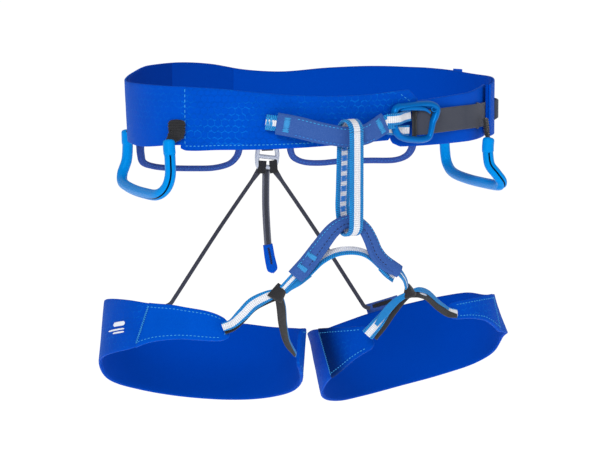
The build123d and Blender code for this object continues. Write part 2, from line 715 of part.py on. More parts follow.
os.makedirs("parts", exist_ok=True)
for name, part in pieces.items():
    export_step(part, f"parts/{name}.step")
print(len(pieces), "pieces")
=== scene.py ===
"""Climbing harness: the soft goods, metal and moulded parts that dress its CAD frame.

Shapes are worked out in millimetres, in the frame's axes, and written to meshes in metres. Fabric panels
stand on four-arc ovals; a direction on an oval is where its surface faces, in degrees from +X. A UV map
in millimetres (along, across) carries the weaves. Round a tube the second value is an angle in degrees,
and in stitches both are zero.
"""

from math import atan2, cos, degrees, pi, radians, sin, sqrt

import bmesh
import bpy
import numpy as np
from mathutils import Matrix, Vector, noise


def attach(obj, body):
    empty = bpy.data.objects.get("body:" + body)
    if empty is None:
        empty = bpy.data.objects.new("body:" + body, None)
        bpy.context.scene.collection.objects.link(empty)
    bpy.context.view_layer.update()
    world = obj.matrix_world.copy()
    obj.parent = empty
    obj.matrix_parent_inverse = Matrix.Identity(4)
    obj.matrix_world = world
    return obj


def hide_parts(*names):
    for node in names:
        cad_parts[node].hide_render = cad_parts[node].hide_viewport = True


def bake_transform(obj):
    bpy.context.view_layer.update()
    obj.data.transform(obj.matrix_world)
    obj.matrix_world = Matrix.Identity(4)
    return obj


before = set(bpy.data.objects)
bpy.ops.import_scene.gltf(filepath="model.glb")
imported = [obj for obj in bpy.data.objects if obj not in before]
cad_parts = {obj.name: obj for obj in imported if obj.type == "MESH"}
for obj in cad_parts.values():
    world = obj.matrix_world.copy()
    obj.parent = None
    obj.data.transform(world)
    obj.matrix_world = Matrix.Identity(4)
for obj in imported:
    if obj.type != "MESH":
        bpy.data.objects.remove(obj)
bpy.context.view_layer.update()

MM = 0.001
UP = np.array([0.0, 0.0, 1.0])
FRONT = np.array([0.0, -1.0, 0.0])

# Sizes shared with the frame, in millimetres
WAIST = (160.0, 100.0, 75.0)
BELT_FRONT_Y = -100.0
SHELL = 1.9
LINING = 1.2
LEG_HALF_DEPTH = 74.0
LEG_TILT = 19.0
STRAP_WIDTH = 20.0
STRAP_Z = -3.0
BUCKLE_DIRECTION = -75.5
BELAY_Y = BELT_FRONT_Y - 14.5
LINER_THICKNESS = LINING + 1.4
LINER_OFFSET = -SHELL - 0.1
STITCH_LIFT = 0.15
FLAP_STITCH_LIFT = 0.45
FLAP_THICKNESS = 2.9
FLAP_OFFSET = 0.3
TIP_ROUND = 2.6


# ---- Curves and surfaces ------------------------------------------------------------------------------
def unit(v):
    v = np.asarray(v, float)
    return v / max(np.linalg.norm(v), 1e-9)


def edge(points):
    """A smooth function through (place, value) points."""
    x = np.array([p[0] for p in points], float)
    y = np.array([p[1] for p in points], float)
    slope = np.gradient(y, x)

    def value(place):
        t = np.clip(place, x[0], x[-1])
        i = np.clip(np.searchsorted(x, t) - 1, 0, len(x) - 2)
        h = x[i + 1] - x[i]
        s = (t - x[i]) / h
        return (
            y[i] * (1 + 2 * s) * (1 - s) ** 2
            + h * slope[i] * s * (1 - s) ** 2
            + y[i + 1] * s * s * (3 - 2 * s)
            + h * slope[i + 1] * s * s * (s - 1)
        )

    return value


def smooth_route(points, step=1.5, closed=False):
    """Points about a step apart along a smooth curve through the given ones."""
    p = np.array(points, float)
    if closed:
        p = np.vstack([p[-1], p, p[0], p[1]])
    else:
        p = np.vstack([2 * p[0] - p[1], p, 2 * p[-1] - p[-2]])
    out = []
    for i in range(1, len(p) - 2):
        a, b, c, d = p[i - 1 : i + 3]
        k = max(2, int(np.linalg.norm(c - b) / step) * 4)
        for t in np.linspace(0, 1, k, endpoint=False):
            out.append(
                0.5 * (2 * b + (c - a) * t + (2 * a - 5 * b + 4 * c - d) * t**2
                       + (3 * b - a - 3 * c + d) * t**3)
            )
    if not closed:
        out.append(p[-2])
    out = np.array(out)
    if closed:
        out = np.vstack([out, out[0]])
    length = np.concatenate([[0], np.cumsum(np.linalg.norm(np.diff(out, axis=0), axis=1))])
    count = max(2, int(round(length[-1] / step)))
    even = np.linspace(0, length[-1], count + 1)
    even = even[:-1] if closed else even
    return np.stack([np.interp(even, length, out[:, k]) for k in range(out.shape[1])], 1)


def tangents(path, closed=False):
    if closed:
        t = np.roll(path, -1, 0) - np.roll(path, 1, 0)
    else:
        t = np.gradient(path, axis=0)
    return t / np.linalg.norm(t, axis=1)[:, None]


def running_length(path):
    return np.concatenate([[0], np.cumsum(np.linalg.norm(np.diff(path, axis=0), axis=1))])


def oval_point(oval, direction, offset=0.0):
    """The point of a four-arc oval that faces a direction, moved outward by offset."""
    half_width, half_depth, end_radius = oval
    end_x = half_width - end_radius
    rise = (end_x**2 - (half_depth - end_radius) ** 2) / (2 * (half_depth - end_radius))
    join = degrees(atan2(rise, end_x))
    d = (direction + 180) % 360 - 180
    if abs(d) <= join:
        centre, radius = (end_x, 0), end_radius
    elif join < d < 180 - join:
        centre, radius = (0, -rise), half_depth + rise
    elif join - 180 < d < -join:
        centre, radius = (0, rise), half_depth + rise
    else:
        centre, radius = (-end_x, 0), end_radius
    a = radians(direction)
    return centre[0] + (radius + offset) * cos(a), centre[1] + (radius + offset) * sin(a)


class Band:
    """A band that stands on an oval, turned by a 3 by 3 matrix and moved to a centre."""

    def __init__(self, oval, matrix=None, centre=(0, 0, 0), mirrored=False, lift=None):
        self.oval = oval
        self.lift = lift or (lambda direction, height: 0.0)
        self.matrix = np.eye(3) if matrix is None else matrix
        self.centre = np.array(centre, float)
        self.mirrored = mirrored
        self.table = np.linspace(-400, 400, 1601)
        plan = np.array([oval_point(oval, d) for d in self.table])
        self.lengths = running_length(plan)

    def facing(self, direction):
        return 180 - direction if self.mirrored else direction

    def at(self, direction, height, offset=0.0):
        x, y = oval_point(self.oval, self.facing(direction), offset + self.lift(direction, height))
        return self.centre + self.matrix @ np.array([x, y, height])

    def normal(self, direction):
        a = radians(self.facing(direction))
        return self.matrix @ np.array([cos(a), sin(a), 0])

    def length(self, start, end):
        return float(np.interp(end, self.table, self.lengths) - np.interp(start, self.table, self.lengths))

    def between(self, start, end, share):
        a, b = np.interp([start, end], self.table, self.lengths)
        return float(np.interp(a + (b - a) * share, self.lengths, self.table))


def swell(direction, middle, reach):
    """1 at a direction, and smoothly 0 by a reach to each side of it."""
    away = abs((direction - middle + 180) % 360 - 180) / reach
    return cos(min(1.0, away) * pi / 2) ** 2


def belt_lift(direction, height):
    """How far the worn belt stands outside its oval: drawn in at one side, and eased out at the other."""
    drawn = 2.4 + (27 - height) * 0.045
    return 1.5 * swell(direction, -5, 50) - drawn * swell(direction, 168, 55)


belt = Band(WAIST, lift=belt_lift)


def band_line(band, start, end, heights, offset, step=1.2):
    """The points of a line on a band between two directions, and where each faces. heights is a function."""
    count = max(2, int(abs(band.length(start, end)) / step))
    directions = [band.between(start, end, k / count) for k in range(count + 1)]
    return (np.array([band.at(d, heights(d), offset) for d in directions]),
            np.array([band.normal(d) for d in directions]))


def turned(x_degrees, y_degrees):
    """The matrix of a turn about X and then about Y."""
    turn = Matrix.Rotation(radians(y_degrees), 3, "Y") @ Matrix.Rotation(radians(x_degrees), 3, "X")
    return np.array(turn)


# ---- Meshes -------------------------------------------------------------------------------------------
def finish_mesh(name, vertices, faces, uvs, material, merge=0.02):
    """A smooth-shaded piece from points in millimetres. Points closer than merge are joined."""
    mesh = bpy.data.meshes.new(name)
    mesh.from_pydata([tuple(v) for v in np.asarray(vertices) * MM], [], faces)
    layer = mesh.uv_layers.new(name="cloth")
    loops = np.array([i for face in faces for i in face])
    layer.data.foreach_set("uv", np.asarray(uvs, np.float32)[loops].reshape(-1))
    if merge:
        work = bmesh.new()
        work.from_mesh(mesh)
        bmesh.ops.remove_doubles(work, verts=work.verts, dist=merge * MM)
        bmesh.ops.recalc_face_normals(work, faces=work.faces)
        work.to_mesh(mesh)
        work.free()
    mesh.shade_smooth()
    mesh.materials.append(material)
    piece = bpy.data.objects.new(name, mesh)
    bpy.context.scene.collection.objects.link(piece)
    return piece


def dress(piece, body, slot, *nodes):
    """Fasten a piece to its body and take the CAD nodes that it stands for out of view. slot is not used."""
    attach(piece, body)
    if nodes:
        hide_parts(*nodes)
    return piece


def grid_faces(rows, columns, closed=False, start=0, flip=False):
    faces = []
    last = rows if closed else rows - 1
    for i in range(last):
        j = (i + 1) % rows
        for k in range(columns - 1):
            quad = [start + i * columns + k, start + i * columns + k + 1, start + j * columns + k + 1]
            quad.append(start + j * columns + k)
            faces.append(tuple(reversed(quad)) if flip else tuple(quad))
    return faces


def slab(name, middle, normals, thickness, uv, material, closed=False, rim=3):
    """A sheet of even thickness with rounded rims, from the grid of its middle surface."""
    mid = np.asarray(middle, float)
    nor = np.asarray(normals, float)
    uv = np.asarray(uv, float)
    full = np.broadcast_to(np.asarray(thickness, float), mid.shape[:2]).copy()
    share = np.ones(mid.shape[:2])

    def grow(mid, nor, uv, full, share, axis):
        """Add the rounded rim beyond both ends of one grid direction."""
        m, n, u, f, s = (np.moveaxis(a, axis, 0) for a in (mid, nor, uv, full, share))
        ends = []
        for first, second in ((0, 1), (-1, -2)):
            out = m[first] - m[second]
            out = out / np.maximum(np.linalg.norm(out, axis=-1), 1e-9)[..., None]
            rings = []
            for k in range(1, rim + 1):
                a = k / rim * pi / 2
                reach = (f[first] / 2 * sin(a))[..., None]
                rings.append((m[first] + out * reach, n[first], u[first], f[first], s[first] * cos(a)))
            ends.append(rings)
        start = ends[0][::-1]
        joined = []
        for k, whole in enumerate((m, n, u, f, s)):
            joined.append(np.concatenate([[r[k] for r in start], whole, [r[k] for r in ends[1]]]))
        return tuple(np.moveaxis(a, 0, axis) for a in joined)

    mid, nor, uv, full, share = grow(mid, nor, uv, full, share, 1)
    if not closed:
        mid, nor, uv, full, share = grow(mid, nor, uv, full, share, 0)
    rows, columns = mid.shape[:2]
    half = (full * share / 2)[..., None]
    top = (mid + nor * half).reshape(-1, 3)
    under = (mid - nor * half).reshape(-1, 3)
    faces = grid_faces(rows, columns, closed)
    faces += grid_faces(rows, columns, closed, rows * columns, flip=True)
    flat = uv.reshape(-1, 2)
    return finish_mesh(name, np.vstack([top, under]), faces, np.vstack([flat, flat]), material)


def wave(point, size, seed):
    """Smooth noise from -1 to 1 with features of about a size."""
    p = Vector((point[0] / size + seed * 7.3, point[1] / size - seed * 3.1, point[2] / size + seed))
    return noise.noise(p)


def panel(name, band, start, end, top, bottom, thickness, offset, material, step=2.2, rows=18, ripple=0.35,
          seed=1.0):
    """A fabric panel on a band. start and end are directions, or functions of the share of the height."""
    first = start if callable(start) else (lambda v: start)
    last = end if callable(end) else (lambda v: end)
    count = max(6, int(abs(band.length(first(0.5), last(0.5))) / step))
    middle = np.zeros((count + 1, rows + 1, 3))
    normals = np.zeros_like(middle)
    uv = np.zeros((count + 1, rows + 1, 2))
    for j in range(rows + 1):
        v = j / rows
        a, b = first(v), last(v)
        for i in range(count + 1):
            direction = band.between(a, b, i / count)
            low, high = bottom(direction), top(direction)
            height = low + (high - low) * v
            normal = band.normal(direction)
            place = band.at(direction, height, offset - thickness / 2)
            out = ripple * wave(place, 38, seed) + ripple * 0.4 * wave(place, 13, seed + 5)
            middle[i, j] = place + normal * out
            normals[i, j] = normal
            uv[i, j] = (band.length(0, direction), height)
    return slab(name, middle, normals, thickness, uv, material)


def rounded_end(low, high, reach, share=0.22):
    """An end that runs from a low direction to a high one and is drawn back by reach at both corners."""

    def direction(v):
        base = low + (high - low) * v
        for corner in (v / share, (1 - v) / share):
            if corner < 1:
                base -= reach * (1 - sqrt(max(0.0, 1 - (1 - corner) ** 2)))
        return base

    return direction


def ribbon(name, path, facing, width, thickness, material, closed=False, columns=10, crown=0.0, ridge=None,
           serrate=None):
    """A strap along a path, its flat side turned to the facing vector of each point. ridge and serrate are
    the pitch and height of ridges across it and of the bumps of its selvages."""
    path = np.asarray(path, float)
    along = tangents(path, closed)
    face = np.broadcast_to(np.asarray(facing, float), path.shape)
    widths = np.broadcast_to(np.asarray(width, float), len(path)).copy()
    run = running_length(path)
    if serrate:
        widths += serrate[1] * np.sin(run * 2 * pi / serrate[0])
    across = np.cross(along, face)
    across /= np.linalg.norm(across, axis=1)[:, None]
    normal = np.cross(across, along)
    shares = np.linspace(-0.5, 0.5, columns + 1)
    inset = (widths - thickness)[:, None] * shares
    middle = path[:, None] + across[:, None] * inset[..., None]
    middle = middle + normal[:, None] * (crown * (1 - (2 * shares) ** 2))[None, :, None]
    normals = np.repeat(normal[:, None], columns + 1, 1)
    full = np.full((len(path), columns + 1), float(thickness))
    if ridge:
        full += (ridge[1] * abs(np.sin(run * pi / ridge[0])))[:, None]
    u = np.repeat(run[:, None], columns + 1, 1)
    v = widths[:, None] * shares[None]
    return slab(name, middle, normals, full, np.stack([u, v], -1), material, closed)


def tube(name, path, radius, material, sides=20, closed=False, up=UP, groove=None):
    """A round tube with domed ends; groove is (angle, half width, depth) of a slit along it."""
    path = np.asarray(path, float)
    along = tangents(path, closed)
    radii = np.broadcast_to(np.asarray(radius, float), len(path)).copy()
    side = unit(np.cross(along[0], up))
    frames = []
    for t in along:
        side = unit(side - t * side.dot(t))
        frames.append((side, np.cross(side, t)))
    if not closed:
        caps = [(0.0, 1.0), (0.5, 0.86), (0.86, 0.5), (1.0, 0.02)]
        head = [(path[0] - along[0] * radii[0] * 0.35 * a, radii[0] * b, frames[0]) for a, b in caps[:0:-1]]
        tail = [(path[-1] + along[-1] * radii[-1] * 0.35 * a, radii[-1] * b, frames[-1]) for a, b in caps[1:]]
    else:
        head, tail = [], []
    rings = head + [(p, r, f) for p, r, f in zip(path, radii, frames)] + tail
    angles = np.linspace(0, 2 * pi, sides + 1)
    if groove:
        angles = np.sort(np.concatenate([angles, groove[0] + groove[1] * np.linspace(-1.6, 1.6, 9)]))
    lengths = running_length(np.array([r[0] for r in rings]))
    vertices, uvs = [], []
    for (centre, r, (a_dir, b_dir)), length in zip(rings, lengths):
        for a in angles:
            reach = r
            if groove:
                away = (a - groove[0]) / groove[1]
                reach = r - groove[2] * float(np.exp(-(away**2) * 2.2)) * min(1, r / radii.max())
            vertices.append(centre + (a_dir * cos(a) + b_dir * sin(a)) * reach)
            uvs.append((length, degrees(a)))
    faces = grid_faces(len(rings), len(angles), closed)
    return finish_mesh(name, vertices, faces, uvs, material, merge=0.01)


class Threads:
    """Many short stitches gathered in one mesh."""

    def __init__(self):
        self.vertices, self.faces = [], []

    def add(self, place, along, out, length, width=0.34, height=0.26):
        across = unit(np.cross(along, out))
        start = len(self.vertices)
        for share, size in ((-0.5, 0.35), (-0.32, 0.9), (0.0, 1.0), (0.32, 0.9), (0.5, 0.35)):
            sink = height * (1 - size) * 0.8
            for k in range(6):
                a = k * pi / 3
                self.vertices.append(
                    place + along * share * length + across * width * size * cos(a)
                    + out * (height * size * sin(a) - sink)
                )
        for i in range(4):
            for k in range(6):
                j = (k + 1) % 6
                self.faces.append((start + i * 6 + k, start + i * 6 + j, start + i * 6 + 6 + j,
                                   start + i * 6 + 6 + k))
        self.faces.append(tuple(start + k for k in range(5, -1, -1)))
        self.faces.append(tuple(start + 24 + k for k in range(6)))

    def line(self, path, out, stitch=2.3, gap=1.3, **size):
        path = np.asarray(path, float)
        length = running_length(path)
        along = tangents(path)
        out = np.broadcast_to(np.asarray(out, float), path.shape)
        for s in np.arange(stitch / 2 + 0.4, length[-1] - stitch / 2, stitch + gap):
            place = np.array([np.interp(s, length, path[:, k]) for k in range(3)])
            i = int(np.clip(np.searchsorted(length, s), 0, len(path) - 1))
            self.add(place, along[i], unit(out[i]), stitch, **size)

    def zigzag(self, centre, along, across, out, length, width, pitch=0.8, thread=0.3):
        """A bar tack: close zigzag threads over a rectangle."""
        for k in range(int(length / pitch)):
            shift = (k + 0.5) * pitch - length / 2
            slant = unit(across * width + along * pitch * (0.9 if k % 2 else -0.9))
            self.add(centre + along * shift, slant, out, width, thread, thread * 0.9)

    def mesh(self, name, material):
        uvs = np.zeros((len(self.vertices), 2))
        return finish_mesh(name, self.vertices, self.faces, uvs, material, merge=0)


# ---- Materials ----------------------------------------------------------------------------------------
def srgb(r, g, b):
    """A colour seen on a screen, 0 to 255, as the linear colour that a shader takes."""
    out = []
    for c in (r / 255, g / 255, b / 255):
        out.append(c / 12.92 if c <= 0.04045 else ((c + 0.055) / 1.055) ** 2.4)
    return (*out, 1.0)


class Shader:
    """A Principled material under construction, with short calls for the nodes that it needs."""

    def __init__(self, name, colour, roughness=0.7, **sockets):
        self.material = bpy.data.materials.new(name)
        self.material.use_nodes = True
        self.tree = self.material.node_tree
        self.base = self.tree.nodes["Principled BSDF"]
        self.base.inputs["Base Color"].default_value = colour
        self.base.inputs["Roughness"].default_value = roughness
        for socket, value in sockets.items():
            self.base.inputs[socket.replace("_", " ")].default_value = value
        self.cloth = self.node("ShaderNodeUVMap")
        self.cloth.uv_map = "cloth"
        split = self.node("ShaderNodeSeparateXYZ", self.cloth.outputs[0])
        self.u, self.v = split.outputs[0], split.outputs[1]

    def node(self, kind, *inputs, **settings):
        made = self.tree.nodes.new(kind)
        for key, value in settings.items():
            setattr(made, key, value)
        for socket, value in zip(made.inputs, inputs):
            if isinstance(value, bpy.types.NodeSocket):
                self.tree.links.new(value, socket)
            elif value is not None:
                socket.default_value = value
        return made

    def maths(self, operation, a, b=0.0, c=0.0):
        return self.node("ShaderNodeMath", a, b, c, operation=operation).outputs[0]

    def vector(self, operation, a, b=(0, 0, 0), c=(0, 0, 0)):
        made = self.node("ShaderNodeVectorMath", a, b, c, operation=operation)
        return made.outputs["Value"] if operation == "DOT_PRODUCT" else made.outputs[0]

    def step(self, value, low, high):
        """0 below low, 1 above high, and smooth between them."""
        made = self.node("ShaderNodeMapRange", value, low, high, interpolation_type="SMOOTHSTEP")
        return made.outputs[0]

    def noise(self, size, detail=2.0, stretch=(1, 1, 1)):
        """Noise over the object's own position, with features of a size in millimetres."""
        place = self.node("ShaderNodeTexCoord").outputs["Object"]
        scaled = self.vector("MULTIPLY", place, tuple(s * 1000 / size for s in stretch))
        return self.node("ShaderNodeTexNoise", scaled, None, 1.0, detail).outputs[0]

    def mix(self, share, a, b):
        made = self.node("ShaderNodeMix", data_type="RGBA")
        for socket, value in ((made.inputs[0], share), (made.inputs[6], a), (made.inputs[7], b)):
            if isinstance(value, bpy.types.NodeSocket):
                self.tree.links.new(value, socket)
            else:
                socket.default_value = value
        return made.outputs[2]

    def colour(self, value):
        self.tree.links.new(value, self.base.inputs["Base Color"])

    def bump(self, height, distance, strength=1.0):
        made = self.node("ShaderNodeBump")
        made.inputs["Strength"].default_value = strength
        made.inputs["Distance"].default_value = distance * MM
        self.tree.links.new(height, made.inputs["Height"])
        self.tree.links.new(made.outputs[0], self.base.inputs["Normal"])

    def weave(self, pitch_u, pitch_v):
        """A plain weave's relief: threads that go over and under each other."""
        a = self.maths("SINE", self.maths("MULTIPLY", self.u, 2 * pi / pitch_u))
        b = self.maths("SINE", self.maths("MULTIPLY", self.v, 2 * pi / pitch_v))
        return self.maths("MULTIPLY_ADD", self.maths("MULTIPLY", a, b), 0.5, 0.5)


def hexagons(shader, pitch, line):
    """1 on the outlines of a field of hexagons and 0 inside them."""
    cell = (1.0, sqrt(3), 1.0)
    half = tuple(c / 2 for c in cell)
    low = tuple(-h for h in half)
    place = shader.vector("SCALE", shader.cloth.outputs[0])
    place.node.inputs["Scale"].default_value = 1 / pitch
    first = shader.vector("WRAP", place, half, low)
    second = shader.vector("WRAP", shader.vector("SUBTRACT", place, half), half, low)
    closer = shader.maths(
        "LESS_THAN", shader.vector("DOT_PRODUCT", first, first), shader.vector("DOT_PRODUCT", second, second)
    )
    pick = shader.node("ShaderNodeMix", data_type="VECTOR")
    for socket, value in zip((pick.inputs[0], pick.inputs[4], pick.inputs[5]), (closer, second, first)):
        shader.tree.links.new(value, socket)
    size = shader.node("ShaderNodeSeparateXYZ", shader.vector("ABSOLUTE", pick.outputs[1]))
    x, y = size.outputs[0], size.outputs[1]
    slanted = shader.maths("MULTIPLY_ADD", y, sqrt(3) / 2, shader.maths("MULTIPLY", x, 0.5))
    return shader.step(shader.maths("MAXIMUM", x, slanted), 0.5 - line, 0.5)


def laminate(name, colour, light, hexes=1.0, shade=None):
    """Bonded sail-cloth laminate with a hexagon grid pressed in it. shade paints shade into its colour along a
    band: (where it starts, where it is full, how deep), the places in millimetres from direction 0."""
    s = Shader(name, colour, 0.66, Specular_IOR_Level=0.12, Specular_Tint=(0.04, 0.4, 1.0, 1.0),
               Sheen_Weight=0.1, Sheen_Roughness=0.4, Sheen_Tint=(0.05, 0.4, 1.0, 1.0))
    grain = s.noise(0.9, 3.0)
    mottle = s.noise(26, 2.0)
    base = s.mix(s.maths("MULTIPLY", s.step(mottle, 0.3, 0.75), 0.35), colour,
                 tuple(c * 0.8 for c in colour[:3]) + (1,))
    relief = s.maths("MULTIPLY", grain, 0.22)
    if hexes:
        lines = hexagons(s, 5.6, 0.07)
        base = s.mix(s.maths("MULTIPLY", lines, 0.16 * hexes), base,
                     tuple(c * 0.6 for c in colour[:3]) + (1,))
        flecks = s.maths("MULTIPLY", s.step(s.noise(34, 1.0), 0.36, 0.6),
                         s.step(s.noise(2.6, 1.0), 0.34, 0.6))
        base = s.mix(s.maths("MULTIPLY", s.maths("MULTIPLY", lines, flecks), 0.5 * hexes), base, light)
        relief = s.maths("MULTIPLY_ADD", lines, 0.8 * hexes, relief)
    speck = s.maths("MULTIPLY", s.step(s.noise(0.55, 2.0), 0.52, 0.72), 0.16)
    base = s.mix(speck, base, light)
    # Painted shade: the colour darkens towards deep navy along part of the band, standing in for a shadow.
    if shade:
        low, high, deep = shade
        base = s.mix(s.maths("MULTIPLY", s.step(s.u, low, high), deep), base, srgb(0, 14, 50))
    s.colour(base)
    s.bump(relief, 0.22)
    return s.material


def cloth(name, colour, light, pitch=0.9, depth=0.12, roughness=0.85, sheen=0.25):
    """Woven cloth with a fine grain."""
    tint = tuple(min(1.0, c / max(light[:3])) for c in light[:3]) + (1.0,)
    s = Shader(name, colour, roughness, Specular_IOR_Level=0.2, Specular_Tint=tint, Sheen_Weight=sheen * 0.5,
               Sheen_Roughness=0.5, Sheen_Tint=tint)
    weave = s.weave(pitch, pitch)
    fleck = s.noise(0.7, 3.0)
    share = s.maths("MULTIPLY", s.step(fleck, 0.42, 0.75), 0.35)
    s.colour(s.mix(share, s.mix(s.maths("MULTIPLY", weave, 0.14), colour, light), light))
    s.bump(s.maths("MULTIPLY_ADD", weave, 0.7, s.maths("MULTIPLY", fleck, 0.5)), depth)
    return s.material


def striped_webbing(name, width, margin, pick=1.7, lean=0.0):
    """White load webbing with coloured edges; margin is the width of each edge, lean moves both to one side."""
    white, cyan, deep = srgb(236, 237, 241), srgb(0, 146, 216), srgb(0, 82, 158)
    s = Shader(name, white, 0.75, Specular_IOR_Level=0.3, Sheen_Weight=0.2, Sheen_Roughness=0.4)
    side = s.maths("ABSOLUTE", s.maths("ADD", s.v, lean))
    ribs = s.maths("SINE", s.maths("MULTIPLY", s.u, 2 * pi / pick))
    ribs = s.maths("MULTIPLY_ADD", ribs, 0.5, 0.5)
    jag = s.maths("MULTIPLY_ADD", ribs, 0.35, side)
    edge_share = s.step(jag, width / 2 - margin - 0.05, width / 2 - margin + 0.35)
    slant = s.maths("MULTIPLY_ADD", side, 1.9, s.maths("MULTIPLY", s.u, 2 * pi / pick))
    chevron = s.maths("MULTIPLY_ADD", s.maths("SINE", slant), 0.5, 0.5)
    blue = s.mix(s.step(chevron, 0.1, 0.75), deep, cyan)
    cords = s.maths("MULTIPLY_ADD", s.maths("SINE", s.maths("MULTIPLY", s.v, 2 * pi / 1.3)), 0.5, 0.5)
    knots = s.maths("MULTIPLY", ribs, cords)
    # Painted shade: the grey mixed into the white at the knots, which sink in the bump, stands in for shadow in
    # the weave's hollows.
    pale = s.mix(s.maths("MULTIPLY", knots, 0.8), white, srgb(168, 174, 196))
    s.colour(s.mix(edge_share, pale, blue))
    s.bump(s.maths("MULTIPLY_ADD", chevron, 0.6, s.maths("MULTIPLY", knots, -0.6)), 0.5)
    return s.material


def twill(name, colour, light, pitch=1.5, depth=0.2, edges=None):
    """Plain coloured strap with a slanting rib; edges is (half width, colour) of brighter selvages."""
    s = Shader(name, colour, 0.8, Specular_IOR_Level=0.3, Sheen_Weight=0.25, Sheen_Roughness=0.4)
    slant = s.maths("MULTIPLY_ADD", s.v, 2 * pi / pitch * 0.8, s.maths("MULTIPLY", s.u, 2 * pi / pitch))
    rib = s.maths("MULTIPLY_ADD", s.maths("SINE", slant), 0.5, 0.5)
    grain = s.noise(0.6, 2.0)
    share = s.maths("MULTIPLY", s.maths("MULTIPLY_ADD", rib, 0.5, grain), 0.4)
    base = s.mix(share, colour, light)
    if edges:
        selvage = s.step(s.maths("ABSOLUTE", s.v), edges[0] - 0.5, edges[0])
        base = s.mix(selvage, base, edges[1])
    s.colour(base)
    s.bump(s.maths("MULTIPLY_ADD", rib, 0.8, s.maths("MULTIPLY", grain, 0.3)), depth)
    return s.material


def slit_plastic(name, colour, slit, half_width):
    """Moulded sheath; the slit along it, at an angle round the tube, shows the black cord inside."""
    s = Shader(name, colour, 0.36, Specular_IOR_Level=0.16, Specular_Tint=(0.1, 0.7, 1.0, 1.0))
    if slit is not None:
        away = s.maths("ABSOLUTE", s.maths("SUBTRACT", s.v, slit))
        s.colour(s.mix(s.step(away, half_width * 0.55, half_width * 0.8), srgb(6, 8, 14), colour))
    s.bump(s.noise(3.0, 2.0), 0.05, 0.4)
    return s.material


def metal(name, colour, roughness, scratches=0.04, **sockets):
    s = Shader(name, colour, roughness, Coat_Roughness=0.1, **sockets)
    s.bump(s.noise(1.2, 3.0), scratches, 0.5)
    return s.material


BLUE = srgb(0, 71, 186)
BLUE_LIGHT = srgb(10, 118, 222)
INNER_BLUE = srgb(0, 62, 170)
INNER_LIGHT = srgb(0, 76, 186)
SLATE = srgb(47, 82, 152)
SLATE_LIGHT = srgb(88, 122, 184)
AZURE = srgb(0, 134, 218)

belt_laminate = laminate("belt_laminate", BLUE, BLUE_LIGHT)
plain_laminate = laminate("plain_laminate", BLUE, BLUE_LIGHT, 0.35)
under_laminate = laminate("under_laminate", BLUE, BLUE_LIGHT, 0.0)
leg_laminate = laminate("leg_laminate", BLUE, BLUE_LIGHT, 0.6)
flap_laminate = laminate("flap_laminate", srgb(0, 76, 190), BLUE_LIGHT, 0.12)
# Painted shade: the left leg's inner flap darkens towards its seam, standing in for the shadow of the other
# leg.
painted_shade_laminate = laminate("painted_shade_laminate", srgb(0, 66, 176), BLUE_LIGHT, 0.4, shade=(302, 274, 0.8))
inner_cloth = cloth("inner_cloth", INNER_BLUE, INNER_LIGHT, 0.8, 0.08)
side_cloth = cloth("side_cloth", srgb(0, 46, 138), srgb(0, 58, 156), 0.8, 0.08)
middle_cloth = cloth("middle_cloth", srgb(0, 56, 158), srgb(0, 68, 174), 0.8, 0.08)
print_white = Shader("print_white", srgb(232, 236, 246), 0.5).material
sleeve_cloth = cloth("sleeve_cloth", SLATE, SLATE_LIGHT, 0.9, 0.16)
loop_cloth = cloth("loop_cloth", srgb(50, 78, 158), srgb(88, 116, 184), 1.0, 0.14)
tab_cloth = cloth("tab_cloth", srgb(0, 78, 200), srgb(40, 120, 230), 0.8, 0.1)
riser_tab_cloth = cloth("riser_tab_cloth", srgb(54, 84, 158), srgb(94, 122, 188), 0.9, 0.12)
thread_cyan = Shader("thread_cyan", srgb(46, 154, 220), 0.6).material
tack_cyan = Shader("tack_cyan", srgb(36, 138, 202), 0.6).material
thread_blue = Shader("thread_blue", srgb(40, 124, 208), 0.6).material
thread_dark = Shader("thread_dark", srgb(16, 30, 78), 0.7).material
thread_black = Shader("thread_black", srgb(22, 22, 26), 0.7).material
belay_weave = striped_webbing("belay_weave", 13.5, 3.2)
tie_in_weave = striped_webbing("tie_in_weave", 9.0, 1.3)
upper_weave = striped_webbing("upper_weave", 12.5, 3.6)
narrow_weave = striped_webbing("narrow_weave", 5.0, 2.0)
tail_strand_weave = striped_webbing("tail_strand_weave", 6.6, 1.5)
cyan_weave = twill("cyan_weave", srgb(0, 100, 172), srgb(20, 154, 222), 1.5, 0.24)
leg_weave = striped_webbing("leg_weave", 9.4, 1.5)
bridge_weave = striped_webbing("bridge_weave", 9.0, 1.4, lean=2.0)
strap_weave = twill("strap_weave", srgb(46, 50, 64), srgb(72, 77, 92), 1.5, 0.16)
black_weave = twill("black_weave", srgb(22, 22, 25), srgb(52, 53, 58), 1.5, 0.22)
elastic_weave = twill("elastic_weave", srgb(48, 50, 62), srgb(84, 87, 102), 1.1, 0.16)
tail_weave = twill("tail_weave", srgb(46, 48, 58), srgb(84, 87, 98), 1.2, 0.2, (2.4, srgb(104, 107, 120)))
buckle_metal = metal("buckle_metal", srgb(0, 100, 180), 0.34, Metallic=0.2, Specular_IOR_Level=0.35,
                     Specular_Tint=(0.1, 0.6, 1.0, 1.0))
hook_metal = metal("hook_metal", srgb(186, 193, 206), 0.38, Metallic=0.35, Coat_Weight=0.1)
sheath = slit_plastic("sheath", AZURE, None, 0)

